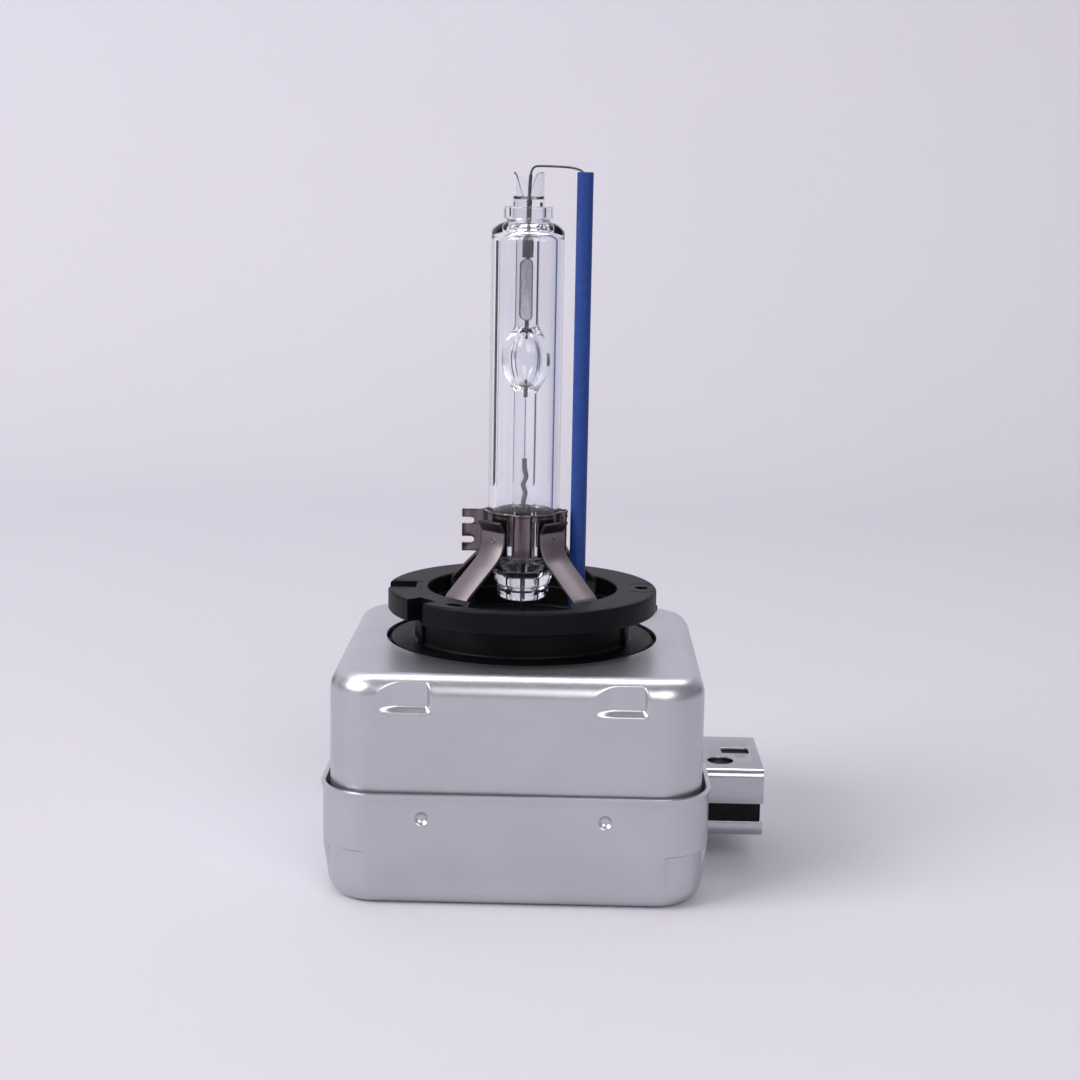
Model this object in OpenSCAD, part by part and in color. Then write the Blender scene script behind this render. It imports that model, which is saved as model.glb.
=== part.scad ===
// Gas-discharge headlight lamp with its igniter in the base.
// The lamp axis is Z and points from the base to the tip.
// The origin is where the axis meets the top of the flange, the plane that
// seats in the reflector. The connector points along +X.

/* [Flange and well] */
// Radius of the locating flange
flange_r = 16; // [15:0.1:18]
// Thickness of the locating flange
flange_t = 2.65; // [2:0.05:4]
// Radius of the round well that the burner stands in
well_r = 11.3; // [10.8:0.1:13.6]
// Depth of the well below the flange top
well_depth = 4.6; // [4:0.1:5]
// Wall of the neck around the well
neck_wall = 1.5; // [1.3:0.1:1.8]
// Height from the top of the igniter box to the flange top
flange_lift = 5.95; // [5.2:0.05:8]
// Width of the open slot in the flange, opposite the connector
slot_w = 3.4; // [2:0.1:5]
// Length of that slot inwards from the rim
slot_l = 3.4; // [2:0.1:4]
// Width of the key notch in the flange rim
key_w = 3; // [2:0.1:4]
// Depth of the key notch
key_d = 2; // [1:0.1:2.5]
// Direction of the key notch around the axis
key_angle = 221; // [210:1:226]
// Radius of the witness hole in the flange, on the connector side
witness_r = 0.8; // [0.5:0.05:1]

/* [Igniter box] */
// Outer width of the upper can, along X
box_w = 41.8; // [38:0.1:51]
// Outer depth of the upper can, along Y
box_d = 41.8; // [38:0.1:50]
// Height of the closed box
box_h = 26.2; // [25:0.05:33]
// Distance of the box centre in front of the lamp axis
box_shift = 1.5; // [0:0.1:2]
// Radius of the upright corners
corner_r = 5.5; // [4:0.1:7]
// Radius of the top and bottom edges
edge_r = 2.4; // [1.5:0.1:3]
// Thickness of the can sheet
sheet = 0.5; // [0.4:0.05:0.7]
// Clearance between the upper can and the band that holds it
can_gap = 0.5; // [0.1:0.05:0.5]
// How much the lower can steps in below the band, each side
band_step = 0.8; // [0.5:0.05:0.8]
// Height of the flared band on the lower can
band_h = 6.7; // [5:0.1:8]
// Depth of the rim of the lower can below the box top
rim_drop = 13.1; // [12:0.05:16]
// Clearance between the flange and the round opening in the box top
opening_gap = 0.15; // [0.05:0.05:0.5]
// Depth of the pressed pockets in the upper can
pocket_depth = 0.7; // [0.4:0.05:0.8]
// Width of the pressed pockets
pocket_w = 4.7; // [3:0.1:6]
// Height of the pressed pockets, from the box top
pocket_h = 4.2; // [3:0.1:6]
// Half the distance between the two pressed pockets of a side
pocket_x = 11.9; // [10:0.1:13]
// Offset of the pressed pockets away from the connector
pocket_shift = 0; // [0:0.1:1]
// Radius of the punched dimples that join the cans
dimple_r = 0.65; // [0.4:0.05:0.9]
// Half the distance between the two dimples of a side
dimple_x = 10.1; // [8:0.1:12]
// Offset of the dimples away from the connector
dimple_shift = 0.1; // [0:0.1:1.5]
// Depth of the dimples below the rim of the lower can
dimple_drop = 2.65; // [2:0.05:3.5]
// Wall of the plastic igniter case
case_wall = 1.3; // [1:0.1:1.6]
// Free space between the pressed pockets and the igniter case
case_gap = 0.1; // [0.05:0.05:0.3]

/* [Burner] */
// Height of the arc centre above the flange top
light_centre = 27.1; // [24:0.1:31]
// Radius of the outer glass tube
glass_r = 4.25; // [4:0.05:5.2]
// Wall of the outer glass tube
glass_wall = 0.95; // [0.7:0.05:1.1]
// Length of the outer glass above the arc centre
glass_top = 17.6; // [15:0.1:20]
// Depth of the glass foot below the flange top
glass_foot = 1.4; // [0.5:0.1:1.8]
// Radius of the arc tube stems
stem_r = 1.4; // [1.3:0.05:1.6]
// Radius of the cut tube at the top
stub_r = 1.8; // [1.6:0.05:2]
// Length of the cut tube above the outer glass
stub_l = 3.9; // [3:0.1:5]
// Outer radius of the discharge bulb
bulge_r = 2.9; // [2.6:0.05:3]
// Radius of the discharge space
space_r = 1.45; // [1.3:0.05:1.6]
// Length of the discharge space
space_l = 5.9; // [5.6:0.1:6.4]
// Distance between the electrode tips
arc_gap = 4.2; // [4:0.1:4.4]
// Radius of the tungsten electrodes
electrode_r = 0.17; // [0.12:0.01:0.2]
// Width of the sealing foils
foil_w = 1.5; // [1.2:0.1:1.8]
// Thickness of the sealing foils
foil_t = 0.1; // [0.05:0.01:0.15]
// Length of the sealing foils
foil_l = 7.2; // [6:0.1:7.4]
// Radius of the lead wires
lead_r = 0.2; // [0.15:0.01:0.25]
// Height of the return wire above the cut tube
wire_rise = 0.65; // [0.5:0.05:1.5]
// Clearance between the ribs of the clamp and the return tube
return_gap = 0.4; // [0.2:0.05:1]
// Radius of the ceramic return tube
return_r = 0.95; // [0.8:0.05:1.1]
// Radius of the bore of the return tube
return_bore_r = 0.4; // [0.35:0.05:0.5]

/* [Clamp and legs] */
// Height of the clamp band above the flange top
band_z = 4.2; // [3.8:0.1:4.6]
// Width of the clamp band, along the lamp
band_w = 5; // [4.6:0.1:5.4]
// Thickness of the clamp band
band_t = 0.3; // [0.2:0.05:0.35]
// Width of the spring ribs in the clamp band
rib_w = 2.1; // [1.6:0.1:2.4]
// Height of the spring ribs
rib_h = 0.6; // [0.4:0.05:0.7]
// Length of the comb ears, out from the band
ear_l = 2.75; // [2:0.05:3.2]
// Width of the legs
leg_w = 3.7; // [3:0.1:4]
// Thickness of the legs
leg_t = 0.4; // [0.3:0.05:0.5]
// Lean of the legs from the lamp axis, in degrees
leg_lean = 50; // [48:0.5:51]

/* [Connector] */
// Width of the connector
plug_w = 15.2; // [14:0.1:18.5]
// Height of the connector
plug_h = 8.2; // [8:0.1:8.8]
// Reach of the connector beyond the upper can
plug_reach = 8; // [7:0.1:10]
// Height of the connector foot above the box foot
plug_z = 4; // [3.9:0.1:4.5]
// Thickness of the shield sheet
shield_t = 0.4; // [0.3:0.05:0.5]
// Height of the sides of the upper shield
shield_side = 4.15; // [3.6:0.05:4.6]
// Height of the sides of the lower shield
lip_side = 1.9; // [1.4:0.1:2]
// Wall of the connector body around the socket
socket_wall = 0.6; // [0.5:0.05:0.8]
// Distance between the connector pins
pin_pitch = 4; // [3.5:0.1:4.2]
// Side of the square connector pins
pin_side = 0.6; // [0.5:0.05:0.7]

/* [Hidden] */

$fn = 64;
// Small overshoot that makes a cut pass clean through a face
over = 0.1;

// Box levels, from the flange top down
box_top = -flange_lift;
box_foot = box_top - box_h;
rim_z = box_top - rim_drop;
step_z = rim_z - band_h;
upper_can_foot = step_z + sheet;
half_w = box_w / 2;
half_d = box_d / 2;
band_out = can_gap + sheet;
opening_r = flange_r + opening_gap;
dimple_z = rim_z - dimple_drop;

// Igniter case, which fits between the pressed pockets
case_inset = sheet + pocket_depth + case_gap;
case_top = box_top - sheet - 0.3;
case_top_t = 1.6;
case_ceiling = case_top - case_top_t;
case_foot = box_foot + sheet + 0.5;
case_corner = corner_r - case_inset;
potting_t = 2.3;
peg_r = 0.75;
peg_rise = 0.5;
peg_gap = 0.2;
peg_x = half_w - 4.7;
peg_y = half_d - box_shift - 3;

// Neck, and the collar plate that fills the opening of the upper can
neck_r = well_r + neck_wall;
collar_r = opening_r - 0.55;
collar_top = box_top - 0.12;

// Well, with the floor that the leg ring hides under
well_floor = -well_depth;
floor_t = 1.1;
ring_t = 0.5;
ring_inner = well_r - 1.7;
ring_z = well_floor - floor_t - ring_t;
spigot_r = ring_inner - 0.3;
spigot_gap = 0.1;
front_recess_r = flange_r - 1.5;
front_recess_angle = 23;
front_recess_z = -1.6;
// The witness hole stands a little outside the middle of the flange land
witness_x = well_r + 0.617 * (flange_r - well_r);

// Glass
bore_r = glass_r - glass_wall;
glass_top_z = light_centre + glass_top;
stub_top_z = glass_top_z + stub_l;
shoulder_z = glass_top_z - 3.4;
collar_z = glass_top_z - 1.4;
foil_gap = 1.5;
foil_near = space_l / 2 + foil_gap;
foil_far = foil_near + foil_l;
foil_turn = 45;
stub_bore_r = stub_r - 0.45;
stub_floor_z = glass_top_z + 0.8;
notch_rise = 2.4;

// Wires
return_x = glass_r + band_t + rib_h + return_gap + return_r;
wire_top_z = stub_top_z + wire_rise;
bend_r = 0.8;
tube_top_z = stub_top_z + 0.1;
tube_seat = 0.5;
contact_top_z = well_floor + 0.9;
contact_r = 0.9;
contact_foot_z = case_ceiling - 2.6;
hub_r = contact_r + 1.6;
hub_foot_z = case_ceiling - 1.8;
terminal_r = 0.65;
terminal_top_z = well_floor - tube_seat;
terminal_foot_z = case_ceiling - 1.6;

// Clamp and legs
ear_reach = glass_r + band_t + ear_l;
comb_slot_l = 1.4;
comb_slot_r = 0.4;
leg_mid = glass_r + band_t + leg_t / 2;
leg_weld_z = band_z + band_w - 1.8;
leg_bend_r = 4;
leg_bend_z = leg_weld_z - 0.6;
lip_lean = 50;
lip_bend_r = 1.2;
lip_l = 0.6;
foot_bend_r = 1;
foot_mid = well_r - 0.66;
leg_angles = [225, 315, 135, 45];

// Parts inside the case, placed from its inner walls
inner_w = half_w - case_inset - case_wall;
inner_d = half_d - case_inset - case_wall;
strip_t = 0.4;
strip_w = 1.5;
strip_z = case_foot + potting_t + 0.9;
coil_r = 9;
coil_l = 2 * inner_d - 5.6;
coil_x = coil_r + 1.3 - inner_w;
coil_z = case_ceiling - coil_r - 0.55;
core_r = 4;
bobbin_bore_r = core_r + 0.1;
bobbin_tube_r = bobbin_bore_r + 0.9;
sections = 6;
flange_disc_t = 0.8;
section_l = (coil_l - flange_disc_t) / sections;
winding_r = coil_r - 0.8;
primary_r = winding_r - 1.6;
gap_r = 4;
gap_l = 7;
gap_x = inner_w - gap_r - 2.8;
gap_y = inner_d - gap_l / 2 - 5.2;
gap_z = case_ceiling - gap_r - 2.2;
cap_w = 12.5;
cap_d = 13.5;
cap_h = 11;
cap_x = inner_w - cap_w / 2 - 1.6;
cap_y = cap_d / 2 + 2.3 - inner_d;
cap_z = strip_z + strip_t + 2;
resistor_r = 1.3;
resistor_l = 6.5;
resistor_top = strip_z + strip_t + resistor_l;
hot_wire_r = 0.35;
hot_wire_z = contact_foot_z - 0.6;
hot_wire_y = section_y(sections - 1) + section_l / 2 + flange_disc_t / 2 - box_shift;
bridge_z = strip_z + 2 * strip_t + 0.4;
bridge_x = coil_x + coil_r + 0.4;
bridge_w = 1.2;

// Connector
plug_x0 = half_w - case_inset;
plug_x1 = half_w + plug_reach;
plug_foot = box_foot + plug_z;
plug_top = plug_foot + plug_h;
plug_mid = (plug_foot + plug_top) / 2;
plug_round = 1.1;
shield_x0 = plug_x0 + 0.4;
window_gap = 0.3;
tongue_inset = 1;
socket_x0 = plug_x0 + 3.2;
pin_z = plug_foot + shield_t + socket_wall + 0.7;
pin_x0 = plug_x0 - case_wall - 0.7;
pin_x1 = plug_x1 - 1.6;
strip_end = pin_x0 + pin_side;
lock_w = 3.3;
lock_d = 2.4;
lock_x = plug_x1 - 2.85;
lock_y = 0.6;
eye_r = 1.55;
eye_x = plug_x1 - 4.9;
eye_y = -3.75;

// Points on an arc about (x, y), from angle a0 to a1
function arc(x, y, r, a0, a1, steps = 8) =
    [for (i = [0:steps]) let (a = a0 + (a1 - a0) * i / steps) [x + r * cos(a), y + r * sin(a)]];

// One upright corner post with rounded top and bottom edges
module corner_post(r, z0, z1, foot_r, top_r) {
    points = concat(
        [[0, z0]],
        foot_r > 0 ? arc(r - foot_r, z0 + foot_r, foot_r, -90, 0, 6) : [[r, z0]],
        top_r > 0 ? arc(r - top_r, z1 - top_r, top_r, 0, 90, 6) : [[r, z1]],
        [[0, z1]]
    );
    rotate_extrude($fn = 40) polygon(points);
}

// A box with round upright corners, centred on the igniter box
module rounded_box(w, d, r, z0, z1, foot_r = 0, top_r = 0) {
    translate([0, -box_shift, 0]) hull() {
        for (sx = [-1, 1], sy = [-1, 1]) {
            translate([sx * (w / 2 - r), sy * (d / 2 - r), 0]) corner_post(r, z0, z1, foot_r, top_r);
        }
    }
}

// A plain box given by its lowest and highest corners
module block(low, high) {
    translate(low) cube(high - low);
}

// An upright rod or disc about a point
module rod(x, y, z0, z1, r) {
    translate([x, y, z0]) cylinder(r = r, h = z1 - z0);
}

// A thin foil in a plane through the axis, turned by its angle
module foil(z0, turn) {
    rotate([0, 0, turn]) block([-foil_t / 2, -foil_w / 2, z0], [foil_t / 2, foil_w / 2, z0 + foil_l]);
}

module outer_bulb() {
    low = -glass_foot;
    outline = concat(
        [[stem_r, low], [2.2, low]],
        arc(2.2, low + 0.9, 0.9, -75, 0, 5),
        [[3.02, 0.2]],
        [[3.25, 1.0], [3.6, 1.75], [4.05, 2.7], [glass_r, 3.6]],
        [[glass_r, shoulder_z]],
        arc(glass_r - 1.2, shoulder_z, 1.2, 10, 70, 6),
        [[2.6, collar_z - 0.35], [2.45, collar_z - 0.1], [2.9, collar_z + 0.15]],
        [[2.9, glass_top_z - 0.25], [2.7, glass_top_z], [stub_r, glass_top_z]],
        [[stub_r, collar_z - 0.6], [stem_r, collar_z - 0.9]],
        [[stem_r, shoulder_z + 0.5], [bore_r - 0.9, shoulder_z + 0.1], [bore_r, shoulder_z - 0.9]],
        [[bore_r, 4.2], [bore_r - 0.4, 3.1], [bore_r - 1.1, 2], [stem_r, 1.5]]
    );
    color([0.85, 0.92, 0.95, 0.35]) rotate_extrude() polygon(outline);
}

// Wall of the discharge space, from the upper electrode down to the lower one
function space_wall() = let (
    half_l = space_l / 2,
    end = acos(electrode_r / space_r)
) [for (i = [0:16]) let (a = end - 2 * end * i / 16)
    [space_r * cos(a), light_centre + half_l * sin(a)]];

// Outline of the arc tube: up the outside, then down the bores on the axis
function arc_tube_outline() = let (
    bulge_l = space_l / 2 + 1.1,
    top_near = light_centre + foil_near,
    top_far = light_centre + foil_far,
    low_near = light_centre - foil_near,
    low_far = light_centre - foil_far
) concat(
    [[lead_r, -glass_foot], [stem_r, -glass_foot], [stem_r, light_centre - bulge_l]],
    [for (i = [1:15]) let (a = -90 + 180 * i / 16)
        [stem_r + (bulge_r - stem_r) * pow(cos(a), 1.1), light_centre + bulge_l * sin(a)]],
    [[stem_r, light_centre + bulge_l], [stem_r, collar_z - 0.9], [stub_r, collar_z - 0.6]],
    [[stub_r, stub_top_z], [stub_bore_r, stub_top_z], [stub_bore_r, stub_floor_z]],
    [[lead_r, stub_floor_z], [lead_r, top_far], [0, top_far], [0, top_near], [electrode_r, top_near]],
    space_wall(),
    [[electrode_r, low_near], [0, low_near], [0, low_far], [lead_r, low_far]]
);

module arc_tube() {
    color([0.88, 0.93, 0.96, 0.4]) difference() {
        rotate_extrude() polygon(arc_tube_outline());
        foil(light_centre + foil_near, foil_turn);
        foil(light_centre - foil_far, 0);
        translate([0, 0, stub_top_z]) rotate([90, 0, 0])
            linear_extrude(2 * stub_r + over, center = true)
                polygon([[-0.9, over], [0.2, -notch_rise], [1.2, over]]);
    }
}

module electrode(side) {
    z0 = light_centre + side * arc_gap / 2;
    z1 = light_centre + side * foil_near;
    rod(0, 0, min(z0, z1), max(z0, z1), electrode_r);
}

// A small frozen pool at the foot of the discharge space, round the electrode
module halide_dose() {
    wall = space_wall();
    dose = [for (i = [14:16]) wall[i]];
    color("khaki") rotate_extrude() polygon(concat([[electrode_r, dose[0][1]]], dose));
}

module upper_electrode() {
    color("dimgray") electrode(1);
}

module lower_electrode() {
    color("dimgray") electrode(-1);
}

module upper_foil() {
    color("slategray") foil(light_centre + foil_near, foil_turn);
}

module lower_foil() {
    color("slategray") foil(light_centre - foil_far, 0);
}

// Quarter bend of wire in the XZ plane, in the corner that the turn chooses
module wire_bend(x, z, turn) {
    translate([x, 0, z]) rotate([90, turn, 0]) rotate_extrude(angle = 90) translate([bend_r, 0])
        circle(lead_r, $fn = 24);
}

module upper_lead() {
    color("silver") {
        rod(0, 0, light_centre + foil_far, wire_top_z - bend_r, lead_r);
        wire_bend(bend_r, wire_top_z - bend_r, -90);
        translate([bend_r, 0, wire_top_z]) rotate([0, 90, 0])
            cylinder(r = lead_r, h = return_x - 2 * bend_r);
        wire_bend(return_x - bend_r, wire_top_z - bend_r, 0);
    }
}

module return_wire() {
    color("silver") rod(return_x, 0, terminal_foot_z + over, wire_top_z - bend_r, lead_r);
}

module return_tube() {
    color("royalblue") difference() {
        rod(return_x, 0, well_floor - tube_seat, tube_top_z, return_r);
        rod(return_x, 0, well_floor - tube_seat - over, tube_top_z + over, return_bore_r);
    }
}

module lower_lead() {
    color("silver") rod(0, 0, contact_top_z - 1, light_centre - foil_far, lead_r);
}

// Outside of one spring rib of the band, and below it the space inside the rib
module rib_sheet() {
    outer = glass_r + band_t;
    block([outer - band_t - 0.1, -rib_w / 2, band_z], [outer + rib_h, rib_w / 2, band_z + band_w]);
}

module rib_hollow() {
    block([0, band_t - rib_w / 2, band_z - over],
        [glass_r + rib_h, rib_w / 2 - band_t, band_z + band_w + over]);
}

// The two ends of the band, folded together with two slots cut in
module comb_ears() {
    difference() {
        block([-ear_reach, -band_t, band_z], [-glass_r - band_t / 2, band_t, band_z + band_w]);
        for (h = [0.27, 0.72]) {
            block([-ear_reach - over, -1, band_z + h * band_w - comb_slot_r],
                [comb_slot_l - ear_reach, 1, band_z + h * band_w + comb_slot_r]);
        }
    }
}

module clamp_band() {
    color("gray") difference() {
        union() {
            rod(0, 0, band_z, band_z + band_w, glass_r + band_t);
            for (a = [-90, 0, 90]) {
                rotate([0, 0, a]) rib_sheet();
            }
            comb_ears();
        }
        rod(0, 0, band_z - over, band_z + band_w + over, glass_r);
        for (a = [-90, 0, 90]) {
            rotate([0, 0, a]) rib_hollow();
        }
    }
}

// Centre line of a leg from its lip to its foot, as points [radius, height]
function leg_line() = let (
    lip = arc(leg_mid + lip_bend_r, leg_weld_z, lip_bend_r, 180 - lip_lean, 180, 5),
    tip = lip[0] + lip_l * [sin(lip_lean), cos(lip_lean)],
    knee = arc(leg_mid + leg_bend_r, leg_bend_z, leg_bend_r, 180, 180 + leg_lean, 8),
    foot_r0 = foot_mid - foot_bend_r * (1 - cos(leg_lean)),
    last = knee[8],
    foot_z0 = last[1] - (foot_r0 - last[0]) / tan(leg_lean),
    foot = arc(foot_mid - foot_bend_r, foot_z0 - foot_bend_r * sin(leg_lean), foot_bend_r, leg_lean, 0, 5)
) concat([tip], lip, knee, foot, [[foot_mid, ring_z + ring_t]]);

// Direction of the centre line at point i
function leg_way(line, i) = let (
    a = line[max(i - 1, 0)],
    b = line[min(i + 1, len(line) - 1)]
) (b - a) / norm(b - a);

// The centre line moved sideways by d
function leg_side(line, d) = [for (i = [0:len(line) - 1])
    let (w = leg_way(line, i)) line[i] + d * [-w[1], w[0]]];

module leg(angle) {
    line = leg_line();
    near = leg_side(line, leg_t / 2);
    far = leg_side(line, -leg_t / 2);
    outline = concat(near, [for (i = [len(far) - 1:-1:0]) far[i]]);
    rotate([0, 0, angle]) rotate([90, 0, 0]) linear_extrude(leg_w, center = true) polygon(outline);
}

module leg_front_left() {
    color("silver") leg(leg_angles[0]);
}

module leg_front_right() {
    color("silver") leg(leg_angles[1]);
}

module leg_rear_left() {
    color("silver") leg(leg_angles[2]);
}

module leg_rear_right() {
    color("silver") leg(leg_angles[3]);
}

module leg_ring() {
    color("silver") difference() {
        rod(0, 0, ring_z, ring_z + ring_t, well_r);
        rod(0, 0, ring_z - over, ring_z + ring_t + over, ring_inner);
    }
}

module base_body() {
    color([0.16, 0.16, 0.18]) difference() {
        union() {
            rod(0, 0, -flange_t, 0, flange_r);
            rod(0, 0, case_top, -flange_t, neck_r);
            rod(0, 0, case_top, collar_top, collar_r);
            rod(0, 0, case_ceiling, case_top, spigot_r);
            rod(0, 0, hub_foot_z, case_ceiling, hub_r);
        }
        // well, and the recess in its front wall
        rod(0, 0, well_floor, over, well_r);
        intersection() {
            rod(0, 0, front_recess_z, over, front_recess_r);
            block([-front_recess_r * sin(front_recess_angle), -flange_r, front_recess_z],
                [front_recess_r * sin(front_recess_angle), 0, over]);
        }
        // groove that takes the leg ring from below
        difference() {
            rod(0, 0, case_top - over, ring_z + ring_t, well_r);
            rod(0, 0, case_top - 2 * over, ring_z + ring_t + over, ring_inner);
        }
        for (a = leg_angles) {
            rotate([0, 0, a]) block([foot_mid - leg_t / 2, -leg_w / 2, ring_z],
                [foot_mid + leg_t / 2, leg_w / 2, well_floor + over]);
        }
        // contacts
        rod(0, 0, contact_foot_z - over, well_floor + over, contact_r);
        rod(return_x, 0, well_floor - tube_seat, well_floor + over, return_r);
        rod(return_x, 0, case_ceiling - over, terminal_top_z + over, terminal_r);
        // flange rim features
        block([-flange_r - over, -slot_w / 2, -flange_t - over],
            [slot_l - flange_r, slot_w / 2, over]);
        rotate([0, 0, key_angle]) block([flange_r - key_d, -key_w / 2, -flange_t - over],
            [flange_r + over, key_w / 2, over]);
        rod(witness_x, 0, -flange_t - over, over, witness_r);
    }
}

module hot_contact() {
    color("goldenrod") difference() {
        rod(0, 0, contact_foot_z, contact_top_z, contact_r);
        rod(0, 0, contact_top_z - 1, contact_top_z + over, lead_r);
    }
}

module return_terminal() {
    color("goldenrod") difference() {
        rod(return_x, 0, terminal_foot_z, terminal_top_z, terminal_r);
        rod(return_x, 0, terminal_foot_z + over, terminal_top_z + over, lead_r);
    }
}

// The four pressed pockets, as boxes grown by a margin
module pockets(grow) {
    for (side = [-1, 1], x = [-pocket_x - pocket_shift, pocket_x - pocket_shift]) {
        y_out = side * (half_d + (grow > 0 ? 0 : over));
        y_in = side * (half_d - pocket_depth - grow);
        block([x - pocket_w / 2 - grow, min(y_out, y_in) - box_shift, box_top - pocket_h - grow],
            [x + pocket_w / 2 + grow, max(y_out, y_in) - box_shift, box_top - (grow > 0 ? edge_r : -over)]);
    }
}

// The four dimples, as spheres sunk into the band by a depth
module dimples(r, depth) {
    y_face = half_d + band_out;
    for (side = [-1, 1], x = [-dimple_x - dimple_shift, dimple_x - dimple_shift]) {
        translate([x, side * (y_face + r - depth) - box_shift, dimple_z])
            sphere(r = r, $fn = 32);
    }
}

// The opening for the connector, through one wall of a can
module connector_window(top) {
    block([plug_x0, -plug_w / 2 - window_gap, plug_foot - window_gap],
        [half_w + band_out + over, plug_w / 2 + window_gap, top]);
}

module upper_can() {
    color("gainsboro") difference() {
        union() {
            difference() {
                rounded_box(box_w, box_d, corner_r, upper_can_foot, box_top, 0, edge_r);
                rounded_box(box_w - 2 * sheet, box_d - 2 * sheet, corner_r - sheet,
                    upper_can_foot - over, box_top - sheet, 0, edge_r - sheet);
            }
            pockets(sheet);
        }
        pockets(0);
        rod(0, 0, box_top - 2 * sheet, box_top + over, opening_r);
        rod(peg_x, peg_y, box_top - 2 * sheet, box_top + over, peg_r + peg_gap);
        connector_window(plug_top + window_gap);
        dimples(dimple_r + sheet, can_gap + sheet + 0.15);
    }
}

module lower_can() {
    band_w2 = 2 * band_out;
    body_cut = 2 * (band_step - band_out);
    color("gainsboro") difference() {
        union() {
            difference() {
                union() {
                    rounded_box(box_w + band_w2, box_d + band_w2, corner_r + band_out, step_z, rim_z);
                    rounded_box(box_w - body_cut, box_d - body_cut, corner_r - body_cut / 2,
                        box_foot, step_z + over, edge_r, 0);
                }
                rounded_box(box_w + 2 * can_gap, box_d + 2 * can_gap, corner_r + can_gap,
                    upper_can_foot, rim_z + over);
                rounded_box(box_w - body_cut - 2 * sheet, box_d - body_cut - 2 * sheet,
                    corner_r - body_cut / 2 - sheet, box_foot + sheet, step_z + 2 * sheet,
                    edge_r - sheet, 0);
            }
            intersection() {
                dimples(dimple_r + sheet, can_gap + sheet + 0.15);
                rounded_box(box_w + band_w2, box_d + band_w2, corner_r + band_out, step_z, rim_z);
            }
        }
        dimples(dimple_r, can_gap + 0.15);
        connector_window(rim_z + over);
    }
}

module igniter_case() {
    color([0.13, 0.13, 0.14]) difference() {
        union() {
            rounded_box(box_w - 2 * case_inset, box_d - 2 * case_inset, case_corner,
                case_foot, case_top, 0, edge_r - sheet);
            rod(peg_x, peg_y, case_top - case_top_t, box_top + peg_rise, peg_r);
        }
        rounded_box(2 * inner_w, 2 * inner_d, case_corner - case_wall,
            case_foot - over, case_ceiling, 0, 0.6);
        rod(0, 0, case_ceiling - over, case_top + over, spigot_r + spigot_gap);
        block([inner_w - over, tongue_inset - plug_w / 2, plug_foot + tongue_inset],
            [plug_x0 + over, plug_w / 2 - tongue_inset, plug_top - tongue_inset]);
    }
}

// Closes the case and beds it on the floor of the lower can
module potting_layer() {
    color([0.25, 0.2, 0.16]) rounded_box(2 * inner_w, 2 * inner_d, case_corner - case_wall,
        box_foot + sheet, case_foot + potting_t);
}

// A disc or tube along Y, about the coil axis
module along_coil(y0, y1, r) {
    translate([coil_x, y0 - box_shift, coil_z]) rotate([-90, 0, 0]) cylinder(r = r, h = y1 - y0);
}

// Start of section i of the coil, counted from the front
function section_y(i) = i * section_l - coil_l / 2;

module coil_bobbin() {
    color("beige") difference() {
        union() {
            along_coil(-coil_l / 2, coil_l / 2, bobbin_tube_r);
            for (i = [0:sections]) {
                along_coil(section_y(i), section_y(i) + flange_disc_t, coil_r);
            }
        }
        along_coil(-coil_l / 2 - over, coil_l / 2 + over, bobbin_bore_r);
    }
}

module ferrite_core() {
    color([0.2, 0.2, 0.22]) along_coil(-coil_l / 2, coil_l / 2, core_r);
}

// The copper between two discs of the bobbin
module winding(i, r) {
    difference() {
        along_coil(section_y(i) + flange_disc_t, section_y(i + 1), r);
        along_coil(section_y(i), section_y(i + 1) + over, bobbin_tube_r);
    }
}

module secondary_winding() {
    color("peru") for (i = [1:sections - 1]) {
        winding(i, winding_r);
    }
}

module primary_winding() {
    color("chocolate") winding(0, primary_r);
}

// A disc or tube along Y, about the spark gap axis
module along_gap(y0, y1, r) {
    translate([gap_x, gap_y + y0, gap_z]) rotate([-90, 0, 0]) cylinder(r = r, h = y1 - y0);
}

module spark_gap_tube() {
    color("white") difference() {
        along_gap(1 - gap_l / 2, gap_l / 2 - 1, gap_r);
        along_gap(-gap_l / 2, gap_l / 2, gap_r - 0.9);
    }
}

module spark_gap_electrodes() {
    color("silver") for (side = [0, 1]) {
        translate([gap_x, gap_y, gap_z]) rotate([-90, 0, 180 * side]) translate([0, 0, -gap_l / 2]) {
            cylinder(r = gap_r, h = 1);
            cylinder(r = gap_r - 2, h = gap_l / 2 - 0.4);
        }
    }
}

module ignition_capacitor() {
    color("steelblue") block([cap_x - cap_w / 2, cap_y - cap_d / 2 - box_shift, cap_z],
        [cap_x + cap_w / 2, cap_y + cap_d / 2 - box_shift, cap_z + cap_h]);
}

// Stands on the supply strip, under an arm of the trigger strip
module bleeder_resistor() {
    cap_l = 1.2;
    foot = strip_z + strip_t;
    color("tan") {
        rod(gap_x, 0, foot, foot + cap_l, resistor_r);
        rod(gap_x, 0, foot + cap_l, resistor_top - cap_l, resistor_r - 0.15);
        rod(gap_x, 0, resistor_top - cap_l, resistor_top, resistor_r);
    }
}

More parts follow.
